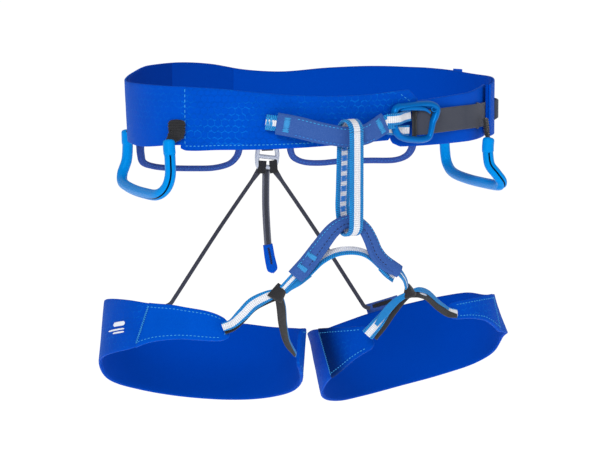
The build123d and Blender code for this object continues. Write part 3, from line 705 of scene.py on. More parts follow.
# ---- Waist belt ---------------------------------------------------------------------------------------
belt_back_top = edge([(-37, 21.5), (-13, 24.5), (19, 25), (40, 27), (58, 28.3), (69, 29), (78, 27.6),
                      (89, 24.9), (97, 27.6), (105, 33.6), (113, 36.4), (119, 36.3), (124, 35.4), (138, 31.8),
                      (155, 28.9), (172, 27.8), (200, 28.2), (236, 27.9)])
belt_back_bottom = edge([(-37, -20.5), (0, -21), (44, -25), (60, -29), (75, -33), (90, -34), (105, -33),
                         (125, -28.5), (143, -24.5), (180, -21.2), (200, -21.5), (214, -20.0), (226, -18.2),
                         (236, -17.6)])
belt_front_top = edge([(-126, 28.1), (-124, 27.9), (-115.5, 26.6), (-107, 23.4), (-99.75, 21.3), (-91, 20.4),
                       (-84, 21.3), (-78, 23.2), (-73, 24.2)])
belt_front_bottom = edge([(-126, -20.6), (-124, -21.7), (-115.5, -21), (-107, -20.4), (-99.75, -19.4),
                          (-91, -17.6), (-82, -15.9), (-73, -15)])
under_top = edge([(-84, 11), (-67, 14.6), (-52, 16.9), (-40, 18.8), (-28, 20)])
under_bottom = edge([(-84, -21.4), (-76, -22.6), (-64, -22.8), (-50, -22.2), (-40, -21.6), (-28, -21)])


def make_belt():
    seam = 234.2
    back = panel("belt_back_cover", belt, -37, seam, belt_back_top, belt_back_bottom, SHELL, 0,
                 plain_laminate, rows=20, ripple=0.3, seed=2)
    dress(back, "waist_belt", "belt_laminate", "belt_back_shell")

    def inset(curve, amount):
        return lambda d: curve(d) + amount

    for name, first, last, material in (
        ("belt_back_liner", -36.6, 99.8, inner_cloth), ("belt_middle_liner", 100.0, 115.8, middle_cloth),
        ("belt_side_liner", 116.0, seam - 0.4, side_cloth),
    ):
        liner = panel(name, belt, first, last, inset(belt_back_top, -0.5), inset(belt_back_bottom, 0.5),
                      LINER_THICKNESS, LINER_OFFSET, material, rows=20, ripple=0.3, seed=2)
        dress(liner, "waist_belt", "lining", *(["belt_back_lining"] if first < 0 else []))

    def tip(v):
        """The front end of the outer panel, with its upper corner cut off."""
        return -81.2 + 8.6 * v - 3.8 * max(0.0, (v - 0.8) / 0.2)

    front = panel("belt_front_cover", belt, -125.7, tip, belt_front_top, belt_front_bottom, SHELL, 0,
                  belt_laminate, rows=20, ripple=0.35, seed=3)
    dress(front, "waist_belt", "belt_laminate", "belt_front_outer_shell")
    front_liner = panel("belt_front_liner", belt, -125.3, lambda v: tip(v) - 0.25,
                        inset(belt_front_top, -0.5), inset(belt_front_bottom, 0.5), LINER_THICKNESS,
                        LINER_OFFSET, inner_cloth, rows=20, ripple=0.35, seed=3)
    dress(front_liner, "waist_belt", "lining", "belt_front_outer_lining")
    corner = rounded_end(-79.5, -78.7, -2.4, 0.3)
    under = panel("belt_front_under_panel", belt, corner, -28.2, under_top, under_bottom, 3.0, -7.1,
                  under_laminate, rows=16, ripple=0.25, seed=4)
    dress(under, "waist_belt", "belt_laminate", "belt_front_inner_panel")
    core = []
    for k, (a, b, low, high) in enumerate(((-16, 234, -18, -6), (-16, 234, 6, 18), (-122, -84, -12, 12))):
        core.append(panel(f"belt_core_strip_{k + 1}", belt, a, b, lambda d: high, lambda d: low, 0.8,
                          -SHELL + 0.1, strap_weave, step=6, rows=3, ripple=0))
        dress(core[-1], "waist_belt", "load_webbing", *(["belt_core_webbing"] if k == 0 else []))
    tab = panel("belt_top_tab", belt, 29.5, 36, lambda d: 28.4, lambda d: 17, 1.0, 1.2, tab_cloth, step=1,
                rows=8, ripple=0)
    dress(tab, "waist_belt", "blue_tab", "belt_label_tab")


def make_belt_stitching():
    stitches = Threads()
    path, out = band_line(belt, -123.2, -83, lambda d: belt_front_bottom(d) + 3.0, STITCH_LIFT)
    stitches.line(path, out, 2.0, 1.3)
    heights = np.linspace(-18, 27.2, 30)
    seam = np.array([belt.at(-123.2, z, STITCH_LIFT) for z in heights])
    stitches.line(seam, belt.normal(-123.2), 2.6, 1.6)
    place = np.array([belt.at(-78.4 + 3.0 * t, 21 - 8.5 * t, 0.2) for t in np.linspace(0, 1, 8)])
    stitches.line(place, belt.normal(-78), 2.6, 1.4)
    dress(stitches.mesh("belt_stitching", thread_cyan), "waist_belt", "stitching")


make_belt()
make_belt_stitching()


# ---- Tie-in webbing and its sleeves -------------------------------------------------------------------
def make_upper_tie_in():
    left = belt.at(-106.5, 1.2, 3.0)
    path = smooth_route([
        left, (-58, -100.8, 0.2), (-44, -106.4, -2.6), (-26, -111.6, -7.2), (-6, -114.2, -10.6),
        (10, -112.6, -9.4), (22, -109.2, -4.6), (29, -106.8, -1.2), (37, -105.4, 0.2),
    ])
    webbing = ribbon("upper_tie_in_webbing_band", path, FRONT, 12.5, 1.5, upper_weave)
    dress(webbing, "waist_belt", "load_webbing", "upper_tie_in_webbing")
    inside = path[(path[:, 0] > -60) & (path[:, 0] < 29.5)]
    height = np.interp(inside[:, 0], [-60, -40, -5, 15, 29], [17.6, 17.6, 16.4, 16.6, 17.2])
    sleeve = ribbon("upper_tie_in_sleeve_tube", inside, FRONT, height, 3.2, sleeve_cloth, columns=16,
                    crown=0.5)
    dress(sleeve, "waist_belt", "sleeve_fabric", "upper_tie_in_sleeve")
    top, low, tacks = Threads(), Threads(), Threads()
    face = inside + FRONT * 2.1
    along = tangents(inside)
    across = np.cross(along, FRONT)
    run = slice(9, -8)
    top.line((face + across * (-height[:, None] / 2 + 2.0))[run], FRONT, 2.0, 1.2)
    low.line((face + across * (height[:, None] / 2 - 2.0))[run], FRONT, 2.0, 1.2)
    for share, x in ((5, -54), (-6, 24)):
        i = int(np.argmin(abs(inside[:, 0] - x)))
        tacks.zigzag(face[i] + FRONT * 0.1, across[i], along[i], FRONT, 13.5, 5.4, 0.85, 0.4)
        tacks.zigzag(face[i] + FRONT * 0.2, across[i], along[i], FRONT, 13.0, 5.2, 0.7, 0.36)
    for k in (1, 3):
        tacks.zigzag(path[k] + FRONT * 0.7, along[0], across[0], FRONT, 3.2, 12.6, 0.9, 0.6)
    dress(tacks.mesh("upper_sleeve_tacks", tack_cyan), "waist_belt", "stitching")
    dress(top.mesh("upper_sleeve_stitching", thread_cyan), "waist_belt", "stitching", "tie_in_bartacks")
    dress(low.mesh("upper_sleeve_lower_stitching", thread_blue), "waist_belt", "stitching")


def make_belay_loop():
    yaw, top, bottom = radians(17), 3.8, -91.0
    out = np.array([sin(yaw), -cos(yaw), 0])
    across = np.array([out[1], -out[0], 0])
    centre = np.array([-3, BELAY_Y, 0])
    reach, bend = 8.4, 8.3
    outline = []
    for a in np.linspace(0, 180, 13):
        outline.append(centre + out * reach * cos(radians(a))
                       + UP * (top - 1.2 - bend + bend * sin(radians(a))))
    outline += [centre - out * (reach - 0.2) + UP * z + across * (-z - 10) * 0.03 for z in (-22, -38, -54,
                                                                                            -68)]
    for a in np.linspace(180, 360, 13):
        outline.append(centre + out * reach * cos(radians(a))
                       + UP * (bottom + 1.2 + bend + bend * sin(radians(a))))
    outline += [centre + out * (reach + 0.3) + UP * z for z in (-68, -54, -38, -22)]
    path = smooth_route(outline, 0.45, closed=True)
    normals = np.cross(across, tangents(path, True))
    if normals[0].dot(out) < 0:
        normals = -normals
    loop = ribbon("belay_loop_band", path, normals, 13.5, 2.3, belay_weave, closed=True, columns=12,
                  serrate=(1.8, 0.22))
    dress(loop, "belay_loop", "load_webbing", "belay_loop_webbing")
    tacks = Threads()
    for k in range(8):
        z = -20 - k * 8.2
        place = centre - out * (reach - 1.5) + UP * z + across * (-z - 10) * 0.03
        tacks.zigzag(place, UP, across, out, 4.6, 6.6, 0.62, 0.4)
    dress(tacks.mesh("belay_loop_tacks", thread_blue), "belay_loop", "stitching", "belay_loop_bartacks")


def make_lower_tie_in():
    y = BELAY_Y
    route = [(-46, y + 7, -122), (-38, y + 4, -112), (-29, y + 1.5, -99.5), (-20, y, -87.5), (-12, y, -81.2),
             (-5, y, -79.2), (3, y, -80), (10, y, -85.6), (15.5, y + 1, -95), (20, y + 2, -105),
             (27, y + 4, -113), (41.5, y + 8, -122.5)]
    path = smooth_route(route)
    core = ribbon("lower_tie_in_core", path, FRONT, 9.0, 2.0, tie_in_weave)
    dress(core, "waist_belt", "load_webbing", "lower_tie_in_webbing")
    width = np.interp(path[:, 0], [-46, -30, -8, 8, 22, 42], [14.5, 13.5, 10.5, 10.5, 12.5, 11.0])
    face = np.array([0.0, -1.0, 0.12])
    front = ribbon("lower_tie_in_sleeve_front", path, face, width, 3.6, sleeve_cloth, columns=14, crown=0.7)
    dress(front, "waist_belt", "sleeve_fabric", "lower_tie_in_sleeve")
    along = tangents(path)
    across = np.cross(along, FRONT)
    across *= np.sign(-across[:, 2:3] + 1e-9)
    sag = 0.36 - 0.09 * np.exp(-((path[:, 0] + 4) / 10) ** 2)
    fold_path = path + across * (width * sag)[:, None] + FRONT * 1.3
    fold = ribbon("lower_tie_in_sleeve_fold", fold_path[3:-4], face, 5.0, 2.3, sleeve_cloth, columns=8,
                  crown=0.5)
    dress(fold, "waist_belt", "sleeve_fabric")
    cyan, dark, tacks = Threads(), Threads(), Threads()
    line = path + FRONT * 2.7
    cyan.line((line - across * (width[:, None] / 2 - 1.6))[6:-6], FRONT, 1.8, 1.3)
    dark.line((line + across * (width[:, None] * 0.12))[8:-8], FRONT, 2.0, 1.3)
    for x in (-41.5, -34.5):
        i = int(np.argmin(abs(path[:, 0] - x)))
        tacks.zigzag(line[i] - across[i] * 1.5, across[i], along[i], FRONT, 9.5, 4.4, 0.8, 0.4)
        tacks.zigzag(line[i] - across[i] * 1.5 + FRONT * 0.1, across[i], along[i], FRONT, 9.2, 4.2, 0.7, 0.36)
    dress(cyan.mesh("lower_sleeve_stitching", thread_cyan), "waist_belt", "stitching")
    dress(tacks.mesh("lower_sleeve_tacks", tack_cyan), "waist_belt", "stitching")
    dress(dark.mesh("lower_sleeve_seam", thread_dark), "waist_belt", "stitching")
    bridge = smooth_route([(-36, y + 8.5, -120), (-31.5, y + 7.5, -115.4), (-26, y + 6.5, -110.5),
                           (-16, y + 6, -105.4), (-4, y + 6, -103.6), (8, y + 6, -105), (17, y + 6.5, -109.5),
                           (26, y + 7.5, -117.6), (34, y + 9.5, -125.6)])
    facing = np.array([0.05, -0.62, 0.78])
    band = ribbon("leg_bridge_band", bridge, facing, 9.0, 1.7, bridge_weave)
    dress(band, "waist_belt", "load_webbing", "bridge_webbing")


make_upper_tie_in()
make_belay_loop()
make_lower_tie_in()


# ---- Buckle and waist strap ---------------------------------------------------------------------------
buckle_out = belt.normal(BUCKLE_DIRECTION)
buckle_along = np.array([-buckle_out[1], buckle_out[0], 0])
buckle_origin = belt.at(BUCKLE_DIRECTION, STRAP_Z, 2.2)


def on_buckle(x, z, out):
    return buckle_origin + buckle_along * x + UP * z + buckle_out * out


def make_buckle():
    outline = [(-20.4, 10), (-17, 13.6), (-9, 14.2), (5, 14.9), (14.6, 14.5), (21.2, 11.2), (20.4, 5.4),
               (17.6, 0), (15.8, -6.5), (13.6, -12.2), (7.6, -14.0), (-2, -13.4), (-11, -11.6), (-17.4, -7.6),
               (-20.6, 0)]
    path = smooth_route([on_buckle(x, z, 2.4) for x, z in outline], 1.0, closed=True)
    local = (path - buckle_origin) @ np.stack([buckle_along, UP, buckle_out], 1)
    width = 6.6 + 0.8 * np.exp(-((local[:, 0] - 19) ** 2 + (local[:, 1] - 9) ** 2) / 40)
    width += 0.4 * np.clip((-local[:, 0] - 6) / 14, 0, 1)
    ring = ribbon("buckle_ring", path, buckle_out, width, 3.4, buckle_metal, closed=True, columns=8,
                  crown=1.0)
    dress(ring, "waist_belt", "buckle_blue", "buckle_frame")
    brow = smooth_route([on_buckle(x, z, 4.4) for x, z in
                         ((-16, 11.4), (-9, 12.2), (0, 12.2), (8, 11.0), (13.2, 7.8))], 1.0)
    taper = 0.3 + 1.5 * np.sin(np.linspace(0.15, pi - 0.35, len(brow)))
    dress(tube("buckle_brow", brow, taper, buckle_metal, 12), "waist_belt", "buckle_blue")
    eye = [on_buckle(17.2 + 2.7 * cos(a), 10.8 + 2.0 * sin(a), 4.4) for a in np.linspace(0, 2 * pi, 24)[:-1]]
    dress(tube("buckle_eye", eye, 0.55, buckle_metal, 8, closed=True, up=buckle_out), "waist_belt",
          "buckle_blue")
    # The slider bar is a real part, but its black colour is painted shadow: it stands in for the shaded gap
    # beside the bar.
    bar = [on_buckle(1.2, z, -1.0) for z in np.linspace(-11.4, 11.8, 14)]
    dress(tube("buckle_slider", bar, 2.0, black_weave, 14, up=buckle_out), "waist_belt", "buckle_blue",
          "buckle_slider_bar")


def upright(path):
    """For a strap that stands on edge: the level direction square to each point of its path."""
    along = tangents(path)
    return np.cross(np.broadcast_to(UP, path.shape), along) * -1


def make_strap():
    inner = -6.6
    runs = [belt.at(d, STRAP_Z, inner + 0.9) for d in np.linspace(-26, -61, 16)]
    runs += [on_buckle(x, 0, out) for x, out in ((20, -2.6), (17, -1.6), (14, 0.6), (10, 1.9), (6.0, 1.8),
                                                 (3.4, 0.4), (3.2, -2.6), (6, -4.0), (12, -4.0), (20, -3.9))]
    path = smooth_route(runs)
    strap = ribbon("waist_strap_run", path, upright(path), STRAP_WIDTH, 1.5, strap_weave, columns=12)
    dress(strap, "waist_belt", "strap_webbing", "waist_strap", "waist_strap_fold")
    middle = STRAP_Z + 3
    outside = smooth_route([belt.at(-25.5, STRAP_Z, -4.6), belt.at(-23.5, middle, 0.8),
                            belt.at(-20, middle, 2.6), belt.at(-12, middle, 1.6), belt.at(0, middle, 1.3),
                            belt.at(12, middle, 1.3)])
    end = ribbon("waist_strap_end", outside, upright(outside), STRAP_WIDTH - 4, 1.5, strap_weave, columns=12)
    dress(end, "waist_belt", "strap_webbing")
    loop = [belt.at(-48, z, out) for z, out in ((-13.4, -6.6), (-12.8, -5.5), (6.6, -5.5), (7.6, -6.6))]
    keeper = ribbon("waist_strap_keeper", smooth_route(loop), belt.normal(-48), 4, 0.6, strap_weave)
    dress(keeper, "waist_belt", "strap_webbing", "strap_keeper")
    upper = smooth_route([on_buckle(x, z, out) for x, z, out in
                          ((-29, 4.4, 4.6), (-25.5, 4.4, 5.6), (-22, 4.6, 6.0), (-17.6, 4.9, 5.6),
                           (-13.5, 5.4, 3.2), (-9, 5.9, 0.8), (-3.6, 6.4, -0.6))])
    lower = smooth_route([on_buckle(x, z, out) for x, z, out in
                          ((-29, -3.4, 2.0), (-25, -3.9, 0.6), (-20.6, -4.6, -0.8), (-14, -5.6, -1.0),
                           (-4.6, -6.0, -1.2))])
    dress(ribbon("buckle_webbing_upper", upper, buckle_out, 9.5, 1.5, tie_in_weave), "waist_belt",
          "load_webbing", "buckle_webbing")
    dress(ribbon("buckle_webbing_lower", lower, buckle_out, 8.5, 1.5, tie_in_weave), "waist_belt",
          "load_webbing")


make_buckle()
make_strap()


# ---- Leg loops ----------------------------------------------------------------------------------------
FLAP_SEAM = -39.0
INNER_SEAM = 196.0


def left_leg_lift(direction, height):
    """The outer side leans in towards its top, and the inner side stands out at its foot. The corner at the
    outer flap's seam stands out at its top and is drawn in at its foot."""
    up = min(1.0, max(0.0, (height + 25) / 45))
    corner = (1.6 * up - 3.6 * (1 - up)) * swell(direction, -38, 24)
    return 5.0 * (1 - up) * swell(direction, 172, 45) - (2.5 + 5.5 * up) * swell(direction, 2, 46) + corner


def right_leg_lift(direction, height):
    return 1.4 * swell(direction, 200, 40)


LEGS = {
    "right": dict(
        side=-1, centre=(-92, 10, -197), oval=(86.0, LEG_HALF_DEPTH, 71.0), roll=11.0, tip=-89.2,
        inner_tip=218.0,
        lift=right_leg_lift, seam_slant=7.0, flap=flap_laminate, inner_flap=leg_laminate,
        top=edge([(-90, 7.4), (-86, 10.8), (-69, 15.5), (-46, 17.8), (-28, 21.9), (0, 27.6), (45, 33),
                  (90, 37.3), (127, 36.0), (146, 32.8), (169, 28.8), (200, 21.5), (218, 17)]),
        bottom=edge([(-90, -6.9), (-86, -8.4), (-69, -9.8), (-46, -13.7), (-36, -17.3), (-20, -19.3),
                     (0, -20.1), (18, -21), (40, -27.8), (74, -30.3), (118, -29.8), (147, -28.2),
                     (182, -24.9), (200, -20.5), (218, -13)]),
    ),
    "left": dict(
        side=1, centre=(94, 10, -198), oval=(84.0, LEG_HALF_DEPTH, 70.0), roll=13.0, tip=-78.5,
        inner_tip=238.0,
        lift=left_leg_lift, seam_slant=0.0, flap=leg_laminate, inner_flap=painted_shade_laminate,
        top=edge([(-77, 10.8), (-65, 9.9), (-36, 9.6), (0, 15), (30, 24), (56, 29.4), (75, 32.4), (94, 33.9),
                  (110, 32.3), (135, 28.6), (165, 27.4), (186, 26.8), (209, 21.7), (226, 16.7), (238, 13.2)]),
        bottom=edge([(-77, -3.2), (-70, -4.8), (-62, -7.9), (-50, -14.7), (-40, -20), (-25, -22.5), (2, -24),
                     (22, -32), (42, -35.4), (69, -35.4), (90, -34), (113, -33.4), (139, -32.3), (160, -28),
                     (180, -20.8), (191, -17), (206, -13.3), (222, -8.4), (238, -5.2)]),
    ),
}


def make_leg(name, leg):
    body = f"{name}_leg_loop"
    side = leg["side"]
    band = Band(leg["oval"], turned(-LEG_TILT, -side * leg["roll"]), leg["centre"], side < 0, leg["lift"])
    top, bottom = leg["top"], leg["bottom"]

    def seam(v):
        """The outer flap's seam, which leans over the height of the band."""
        return FLAP_SEAM - leg["seam_slant"] * v

    back = panel(f"{name}_leg_back_cover", band, lambda v: seam(v) + 0.1, INNER_SEAM - 0.1, top, bottom,
                 SHELL, 0, leg_laminate, rows=18, ripple=0.5, seed=6 + side)
    dress(back, body, "belt_laminate", f"{name}_leg_back_panel")
    liner = panel(f"{name}_leg_liner", band, FLAP_SEAM + 0.5, INNER_SEAM - 0.5, lambda d: top(d) - 0.4,
                  lambda d: bottom(d) + 0.4, LINING, -SHELL + 0.1, inner_cloth, rows=18, ripple=0.5,
                  seed=6 + side)
    dress(liner, body, "lining", f"{name}_leg_lining")
    outer_end = rounded_end(leg["tip"], leg["tip"], -TIP_ROUND, 0.3)
    flap = panel(f"{name}_leg_outer_flap_cover", band, outer_end, seam, top, bottom, FLAP_THICKNESS,
                 FLAP_OFFSET, leg["flap"], rows=16, ripple=0.4, seed=9 + side)
    dress(flap, body, "belt_laminate", f"{name}_leg_outer_flap")
    inner_end = rounded_end(leg["inner_tip"], leg["inner_tip"], TIP_ROUND, 0.28)
    inner = panel(f"{name}_leg_inner_flap_cover", band, INNER_SEAM, inner_end, top, bottom, FLAP_THICKNESS,
                  FLAP_OFFSET, leg["inner_flap"], rows=16, ripple=0.4, seed=12 + side)
    dress(inner, body, "belt_laminate", f"{name}_leg_inner_flap")
    stitches = Threads()
    for curve, shift in ((top, -2.3), (bottom, 2.3)):
        path, out = band_line(band, leg["tip"] + 4, FLAP_SEAM - leg["seam_slant"] * (shift < 0),
                              lambda d: curve(d) + shift, FLAP_STITCH_LIFT)
        stitches.line(path, out, 1.9, 1.3)
        path, out = band_line(band, INNER_SEAM + 1, leg["inner_tip"] - 4, lambda d: curve(d) + shift,
                              FLAP_STITCH_LIFT)
        stitches.line(path, out, 1.9, 1.3)
    end = leg["tip"] + 1.8
    path = np.array([band.at(end, z, FLAP_STITCH_LIFT) for z in np.linspace(bottom(end) + 4, top(end) - 4,
                                                                            12)])
    stitches.line(path, band.normal(end), 1.9, 1.3)
    for direction, slant in ((FLAP_SEAM, leg["seam_slant"]), (INNER_SEAM, 0.0)):
        low, high = bottom(direction) + 1.2, top(direction - slant) - 1.2
        feet = band.at(direction, low, FLAP_STITCH_LIFT), band.at(direction - slant, high, FLAP_STITCH_LIFT)
        out = band.normal(direction - slant / 2)
        along = unit(feet[1] - feet[0])
        middle = (feet[0] + feet[1]) / 2 + out * (0.9 if slant else 0)
        length = np.linalg.norm(feet[1] - feet[0])
        stitches.zigzag(middle, along, unit(np.cross(out, along)), out, length, 2.0, 0.9, 0.26)
    dress(stitches.mesh(f"{name}_leg_stitching", thread_cyan), body, "stitching")
    tab_direction = 94 if side > 0 else 92
    rise = top(tab_direction) + (8.6 if side > 0 else 0.6)
    tab = panel(f"{name}_riser_tab_cloth", band, tab_direction - 17, tab_direction, lambda d: rise,
                lambda d: rise - 16, 1.8, 2.0, riser_tab_cloth, step=1.5, rows=8, ripple=0.2, seed=3)
    dress(tab, body, "blue_tab", f"{name}_riser_tab")
    tack = Threads()
    for surface, out_sign in ((2.2, 1), (-0.1, -1)):
        middle = band.at(tab_direction - 8.5, rise - 2.6, surface)
        out = band.normal(tab_direction - 8.5) * out_sign
        along = unit(band.at(tab_direction - 4, rise) - band.at(tab_direction - 13, rise))
        tack.zigzag(middle, along, unit(np.cross(out, along)), out, 19, 4.4, 0.62, 0.44)
    dress(tack.mesh(f"{name}_riser_tab_tack", thread_black), body, "black_webbing")
    if side < 0:
        for k, (low, high, first, last) in enumerate(((1.5, 5.0, -27, -15), (-2.0, -0.8, -27, -9),
                                                      (-4.6, -3.4, -27, -15))):
            bar = panel(f"print_bar_{k + 1}", band, rounded_end(first, first, -1.2, 0.5),
                        rounded_end(last, last, 1.2, 0.5), lambda d: high, lambda d: low, 0.3, 0.42,
                        print_white, step=0.8, rows=4, ripple=0)
            dress(bar, body, "load_webbing")


for leg_name, leg_shape in LEGS.items():
    make_leg(leg_name, leg_shape)


# ---- Webbing between the tie-in and the leg loops -----------------------------------------------------
def strip(name, body, points, facings, widths, thickness, material, slot, nodes=(), columns=8):
    """A strap whose facing and width change from point to point of its route."""
    rows = np.hstack([np.array(points, float), np.array(facings, float), np.array(widths, float)[:, None]])
    rows = smooth_route(rows, 1.5)
    piece = ribbon(name, rows[:, :3], rows[:, 3:6], rows[:, 6], thickness, material, columns=columns)
    return dress(piece, body, slot, *nodes)


def make_leg_straps():
    r = "right_leg_loop"
    outer = [(-59, -92.5, -138), (-66, -88, -141.5), (-75, -81, -148), (-82, -75.5, -157), (-89, -70, -165),
             (-95, -64.6, -168.6)]
    facing = [(0, -1, 0.2), (0, -1, 0.25), (0.05, -1, 0.3), (0, -0.95, 0.35), (-0.1, -0.9, 0.4),
              (-0.2, -1, 0.2)]
    strip("right_leg_outer_strap", r, outer, facing, (7, 9.5, 10.8, 10.2, 8, 7), 1.6, leg_weave,
          "load_webbing", ("right_leg_outer_webbing",))
    low = [(x + 2.4, y + 1.6, z - 4.6) for x, y, z in outer]
    strip("right_leg_outer_elastic", r, low, facing, (3, 3, 3, 3, 3.2, 3.2), 1.3, black_weave, "elastic",
          ("right_leg_elastics",), 5)
    inner = [(-57, -92.5, -141), (-53, -86, -152), (-48, -75, -168), (-41, -64, -184), (-31, -54, -197)]
    facing = [(0.1, -1, 0.2), (0.1, -1, 0.3), (0.2, -0.9, 0.4), (0.3, -0.9, 0.5), (0.5, -0.8, 0.4)]
    strip("right_leg_inner_elastic", r, [(x, y - 1.8, z) for x, y, z in inner], facing, (7, 8.4, 9, 7.4, 2.6),
          1.5, black_weave, "elastic")
    strip("right_leg_inner_strap", r, [(x + 1.4, y + 0.4, z + 0.4) for x, y, z in inner], facing,
          (6, 8, 8.6, 7.6, 5), 1.6, cyan_weave, "load_webbing", ("right_leg_inner_webbing",))
    r = "left_leg_loop"
    inner = [(56, -92, -144.5), (50.5, -86, -150), (45, -77, -160), (40, -68, -172), (35, -59, -183)]
    facing = [(-0.1, -1, 0.3), (-0.2, -0.9, 0.4), (-0.3, -0.9, 0.4), (-0.3, -0.9, 0.3), (-0.3, -0.9, 0.2)]
    shifts = (-1.2, -1.6, -1.8, -2.2, -3.0)
    strip("left_leg_inner_strap", r, [(x + k, y + 0.6, z + 0.4) for k, (x, y, z) in zip(shifts, inner)],
          facing, (3.5, 5, 6.6, 9.5, 11), 1.6, leg_weave, "load_webbing", ("left_leg_inner_webbing",))
    strip("left_leg_inner_edge", r,
          [(x + k * 1.2 - 1.6, y - 0.8, z - 0.6) for k, (x, y, z) in zip(shifts, inner)][:4], facing[:4],
          (4.2, 5.8, 6.6, 3.4), 1.0, cyan_weave, "load_webbing", (), 5)
    strip("left_leg_inner_elastic", r,
          [(x + k * 0.9, y - 1.4, z - k * 0.7) for k, (x, y, z) in enumerate(inner)], facing,
          (4.5, 6.2, 6.4, 5, 2.8), 1.4, black_weave, "elastic", ("left_leg_elastics",))
    outer = [(58, -92, -144), (66, -88, -144.5), (76, -81, -148.5), (88, -73, -158), (100, -65, -165.8),
             (110.5, -58.4, -169.4)]
    facing = [(0.1, -0.9, 0.4), (0.1, -0.9, 0.5), (0.2, -0.9, 0.5), (0.3, -0.9, 0.5), (0.3, -0.9, 0.4),
              (0.3, -0.9, 0.3)]
    strip("left_leg_outer_edge", r, [(x + 1.2, y - 0.6, z + 2.6) for x, y, z in outer[:5]], facing[:5],
          (2.6, 4.6, 4.6, 3.8, 2.2), 1.0, cyan_weave, "load_webbing", (), 5)
    strip("left_leg_outer_strap", r, [(x + 1.0, y + 0.8, z + 0.6) for x, y, z in outer], facing,
          (3.5, 5.6, 6.4, 6.4, 7.2, 6.8), 1.6, leg_weave, "load_webbing", ("left_leg_outer_webbing",))
    strip("left_leg_outer_elastic", r, [(x, y - 1.2, z - 1.2) for x, y, z in outer], facing,
          (4.6, 6.4, 7.6, 7.6, 6.2, 3.6), 1.4, black_weave, "elastic")


def make_keeper(name, centre, top_width, bottom_width, height, lean):
    """A wide band of black elastic wrapped round the straps where they part."""
    along = unit(np.array([lean, 0.25, -1.0]))
    centre = np.array(centre, float)
    path = np.array([centre + along * s for s in np.linspace(-height / 2, height / 2, 12)])
    width = np.linspace(top_width, bottom_width, 12)
    piece = ribbon(f"{name}_keeper_band", path, FRONT, width, 5.4, black_weave, columns=10, crown=0.6)
    dress(piece, "waist_belt", "black_webbing", f"{name}_keeper")


def make_tie_in_tails():
    w = "waist_belt"
    strip("right_tie_in_tail_band", w, [(-43, -107.5, -118.5), (-48, -104, -124.5), (-52, -99.5, -130.5),
          (-55, -95, -135.5)], [(0, -1, 0.1)] * 4, (7, 6.8, 6.6, 6.4), 1.6, tail_strand_weave, "load_webbing",
          ("right_tie_in_tail",))
    strip("right_tie_in_tail_edge", w, [(-36, -105.5, -121.5), (-42, -102.5, -127.6), (-48, -98.8, -132.6),
          (-51.5, -95, -137)], [(0.3, -0.9, 0.4)] * 4, (8, 6.8, 5.4, 4.4), 1.8, cyan_weave, "load_webbing")
    strip("left_tie_in_tail_band", w, [(40, -106.5, -121), (45.5, -103.5, -126.5), (50, -99.5, -132),
          (53, -95, -138.5)], [(0.3, -0.9, 0.1)] * 4, (7, 5.6, 4.6, 4.0), 1.8, narrow_weave, "load_webbing",
          ("left_tie_in_tail",))
    strip("bridge_frayed_end", w, [(27, -104, -119), (33, -102.4, -124), (39.5, -101, -128.6)],
          [(0.2, -1, 0.3)] * 3, (7, 8.4, 9), 1.4, tail_strand_weave, "load_webbing")


make_leg_straps()
make_keeper("right", (-56.6, -93.4, -137.8), 11.0, 13.4, 8.2, -0.6)
make_keeper("left", (56.2, -93, -141.6), 7.0, 11.0, 6.8, 0.2)
make_tie_in_tails()


# ---- Rear hook and risers -----------------------------------------------------------------------------
HOOK_X, HOOK_Y, HOOK_TOP = -5.0, 103.5, -37.0


def make_hook():
    ring = [(-7.0, -3), (0, -2.2), (6.6, -3), (9.0, -8), (9.0, -14), (7.6, -19.4), (4.4, -22), (-0.6, -21.2),
            (-5.4, -22), (-8.4, -20), (-9.2, -14), (-8.8, -8)]
    path = smooth_route([(HOOK_X + x, HOOK_Y, HOOK_TOP + z) for x, z in ring], 0.9, closed=True)
    dress(ribbon("riser_hook_ring", path, (0, -1, 0), 4.6, 2.6, hook_metal, closed=True, columns=6,
                 crown=0.4),
          "waist_belt", "hook_metal", "riser_hook")
    bar = [(HOOK_X + x, HOOK_Y, HOOK_TOP - 12.4 - 0.14 * x) for x in np.linspace(-8.5, 8.5, 10)]
    dress(tube("riser_hook_bar", bar, 1.9, hook_metal, 12), "waist_belt", "hook_metal")
    tab = smooth_route([(HOOK_X, 101.6, -18), (HOOK_X, 101.6, -34), (HOOK_X, 101.0, -38.5),
                        (HOOK_X, 103.4, -43.4), (HOOK_X, 106, -39.5), (HOOK_X, 105.6, -33),
                        (HOOK_X, 102.6, -20)], 1.0)
    normals = np.cross(tangents(tab), (1.0, 0, 0))
    dress(ribbon("riser_anchor_strap", tab, normals, 10.5, 1.2, black_weave), "waist_belt", "black_webbing",
          "riser_anchor_tab")


def make_risers():
    ends = {"right": (-101.5, 87.5, -174), "left": (83.3, 87.5, -185.3)}
    for name, (x, y, z) in ends.items():
        side = LEGS[name]["side"]
        top = np.array([HOOK_X + side * 4.4, HOOK_Y + 1.8, HOOK_TOP - 20.5])
        foot = np.array([x, y, z], float)
        bend = foot - unit(foot - top) * 14
        path = smooth_route([top, top * 0.5 + bend * 0.5, bend + np.array([-side * 1.2, 0, -1.5]),
                             foot + np.array([-side * 3.6, 0, 1.8]),
                             foot + np.array([side * 1.2, 0, -0.4])], 2.0)
        width = np.interp(np.arange(len(path)), [0, 3, 8, len(path)], [7.0, 5.4, 3.6, 3.6])
        riser = ribbon(f"{name}_riser_strap", path, (0, -1, 0), width, 1.5, elastic_weave, columns=5)
        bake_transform(riser)
        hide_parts(f"{name}_riser")
        wrap = [top + np.array([side * 0.4, -3.2, 4.5]), top + np.array([side * 1.3, -2.7, -5.5])]
        fold = ribbon(f"{name}_riser_fold", smooth_route(wrap, 1.0), (0, -1, 0), 7.4, 1.4, black_weave,
                      columns=5)
        dress(fold, "waist_belt", "elastic")


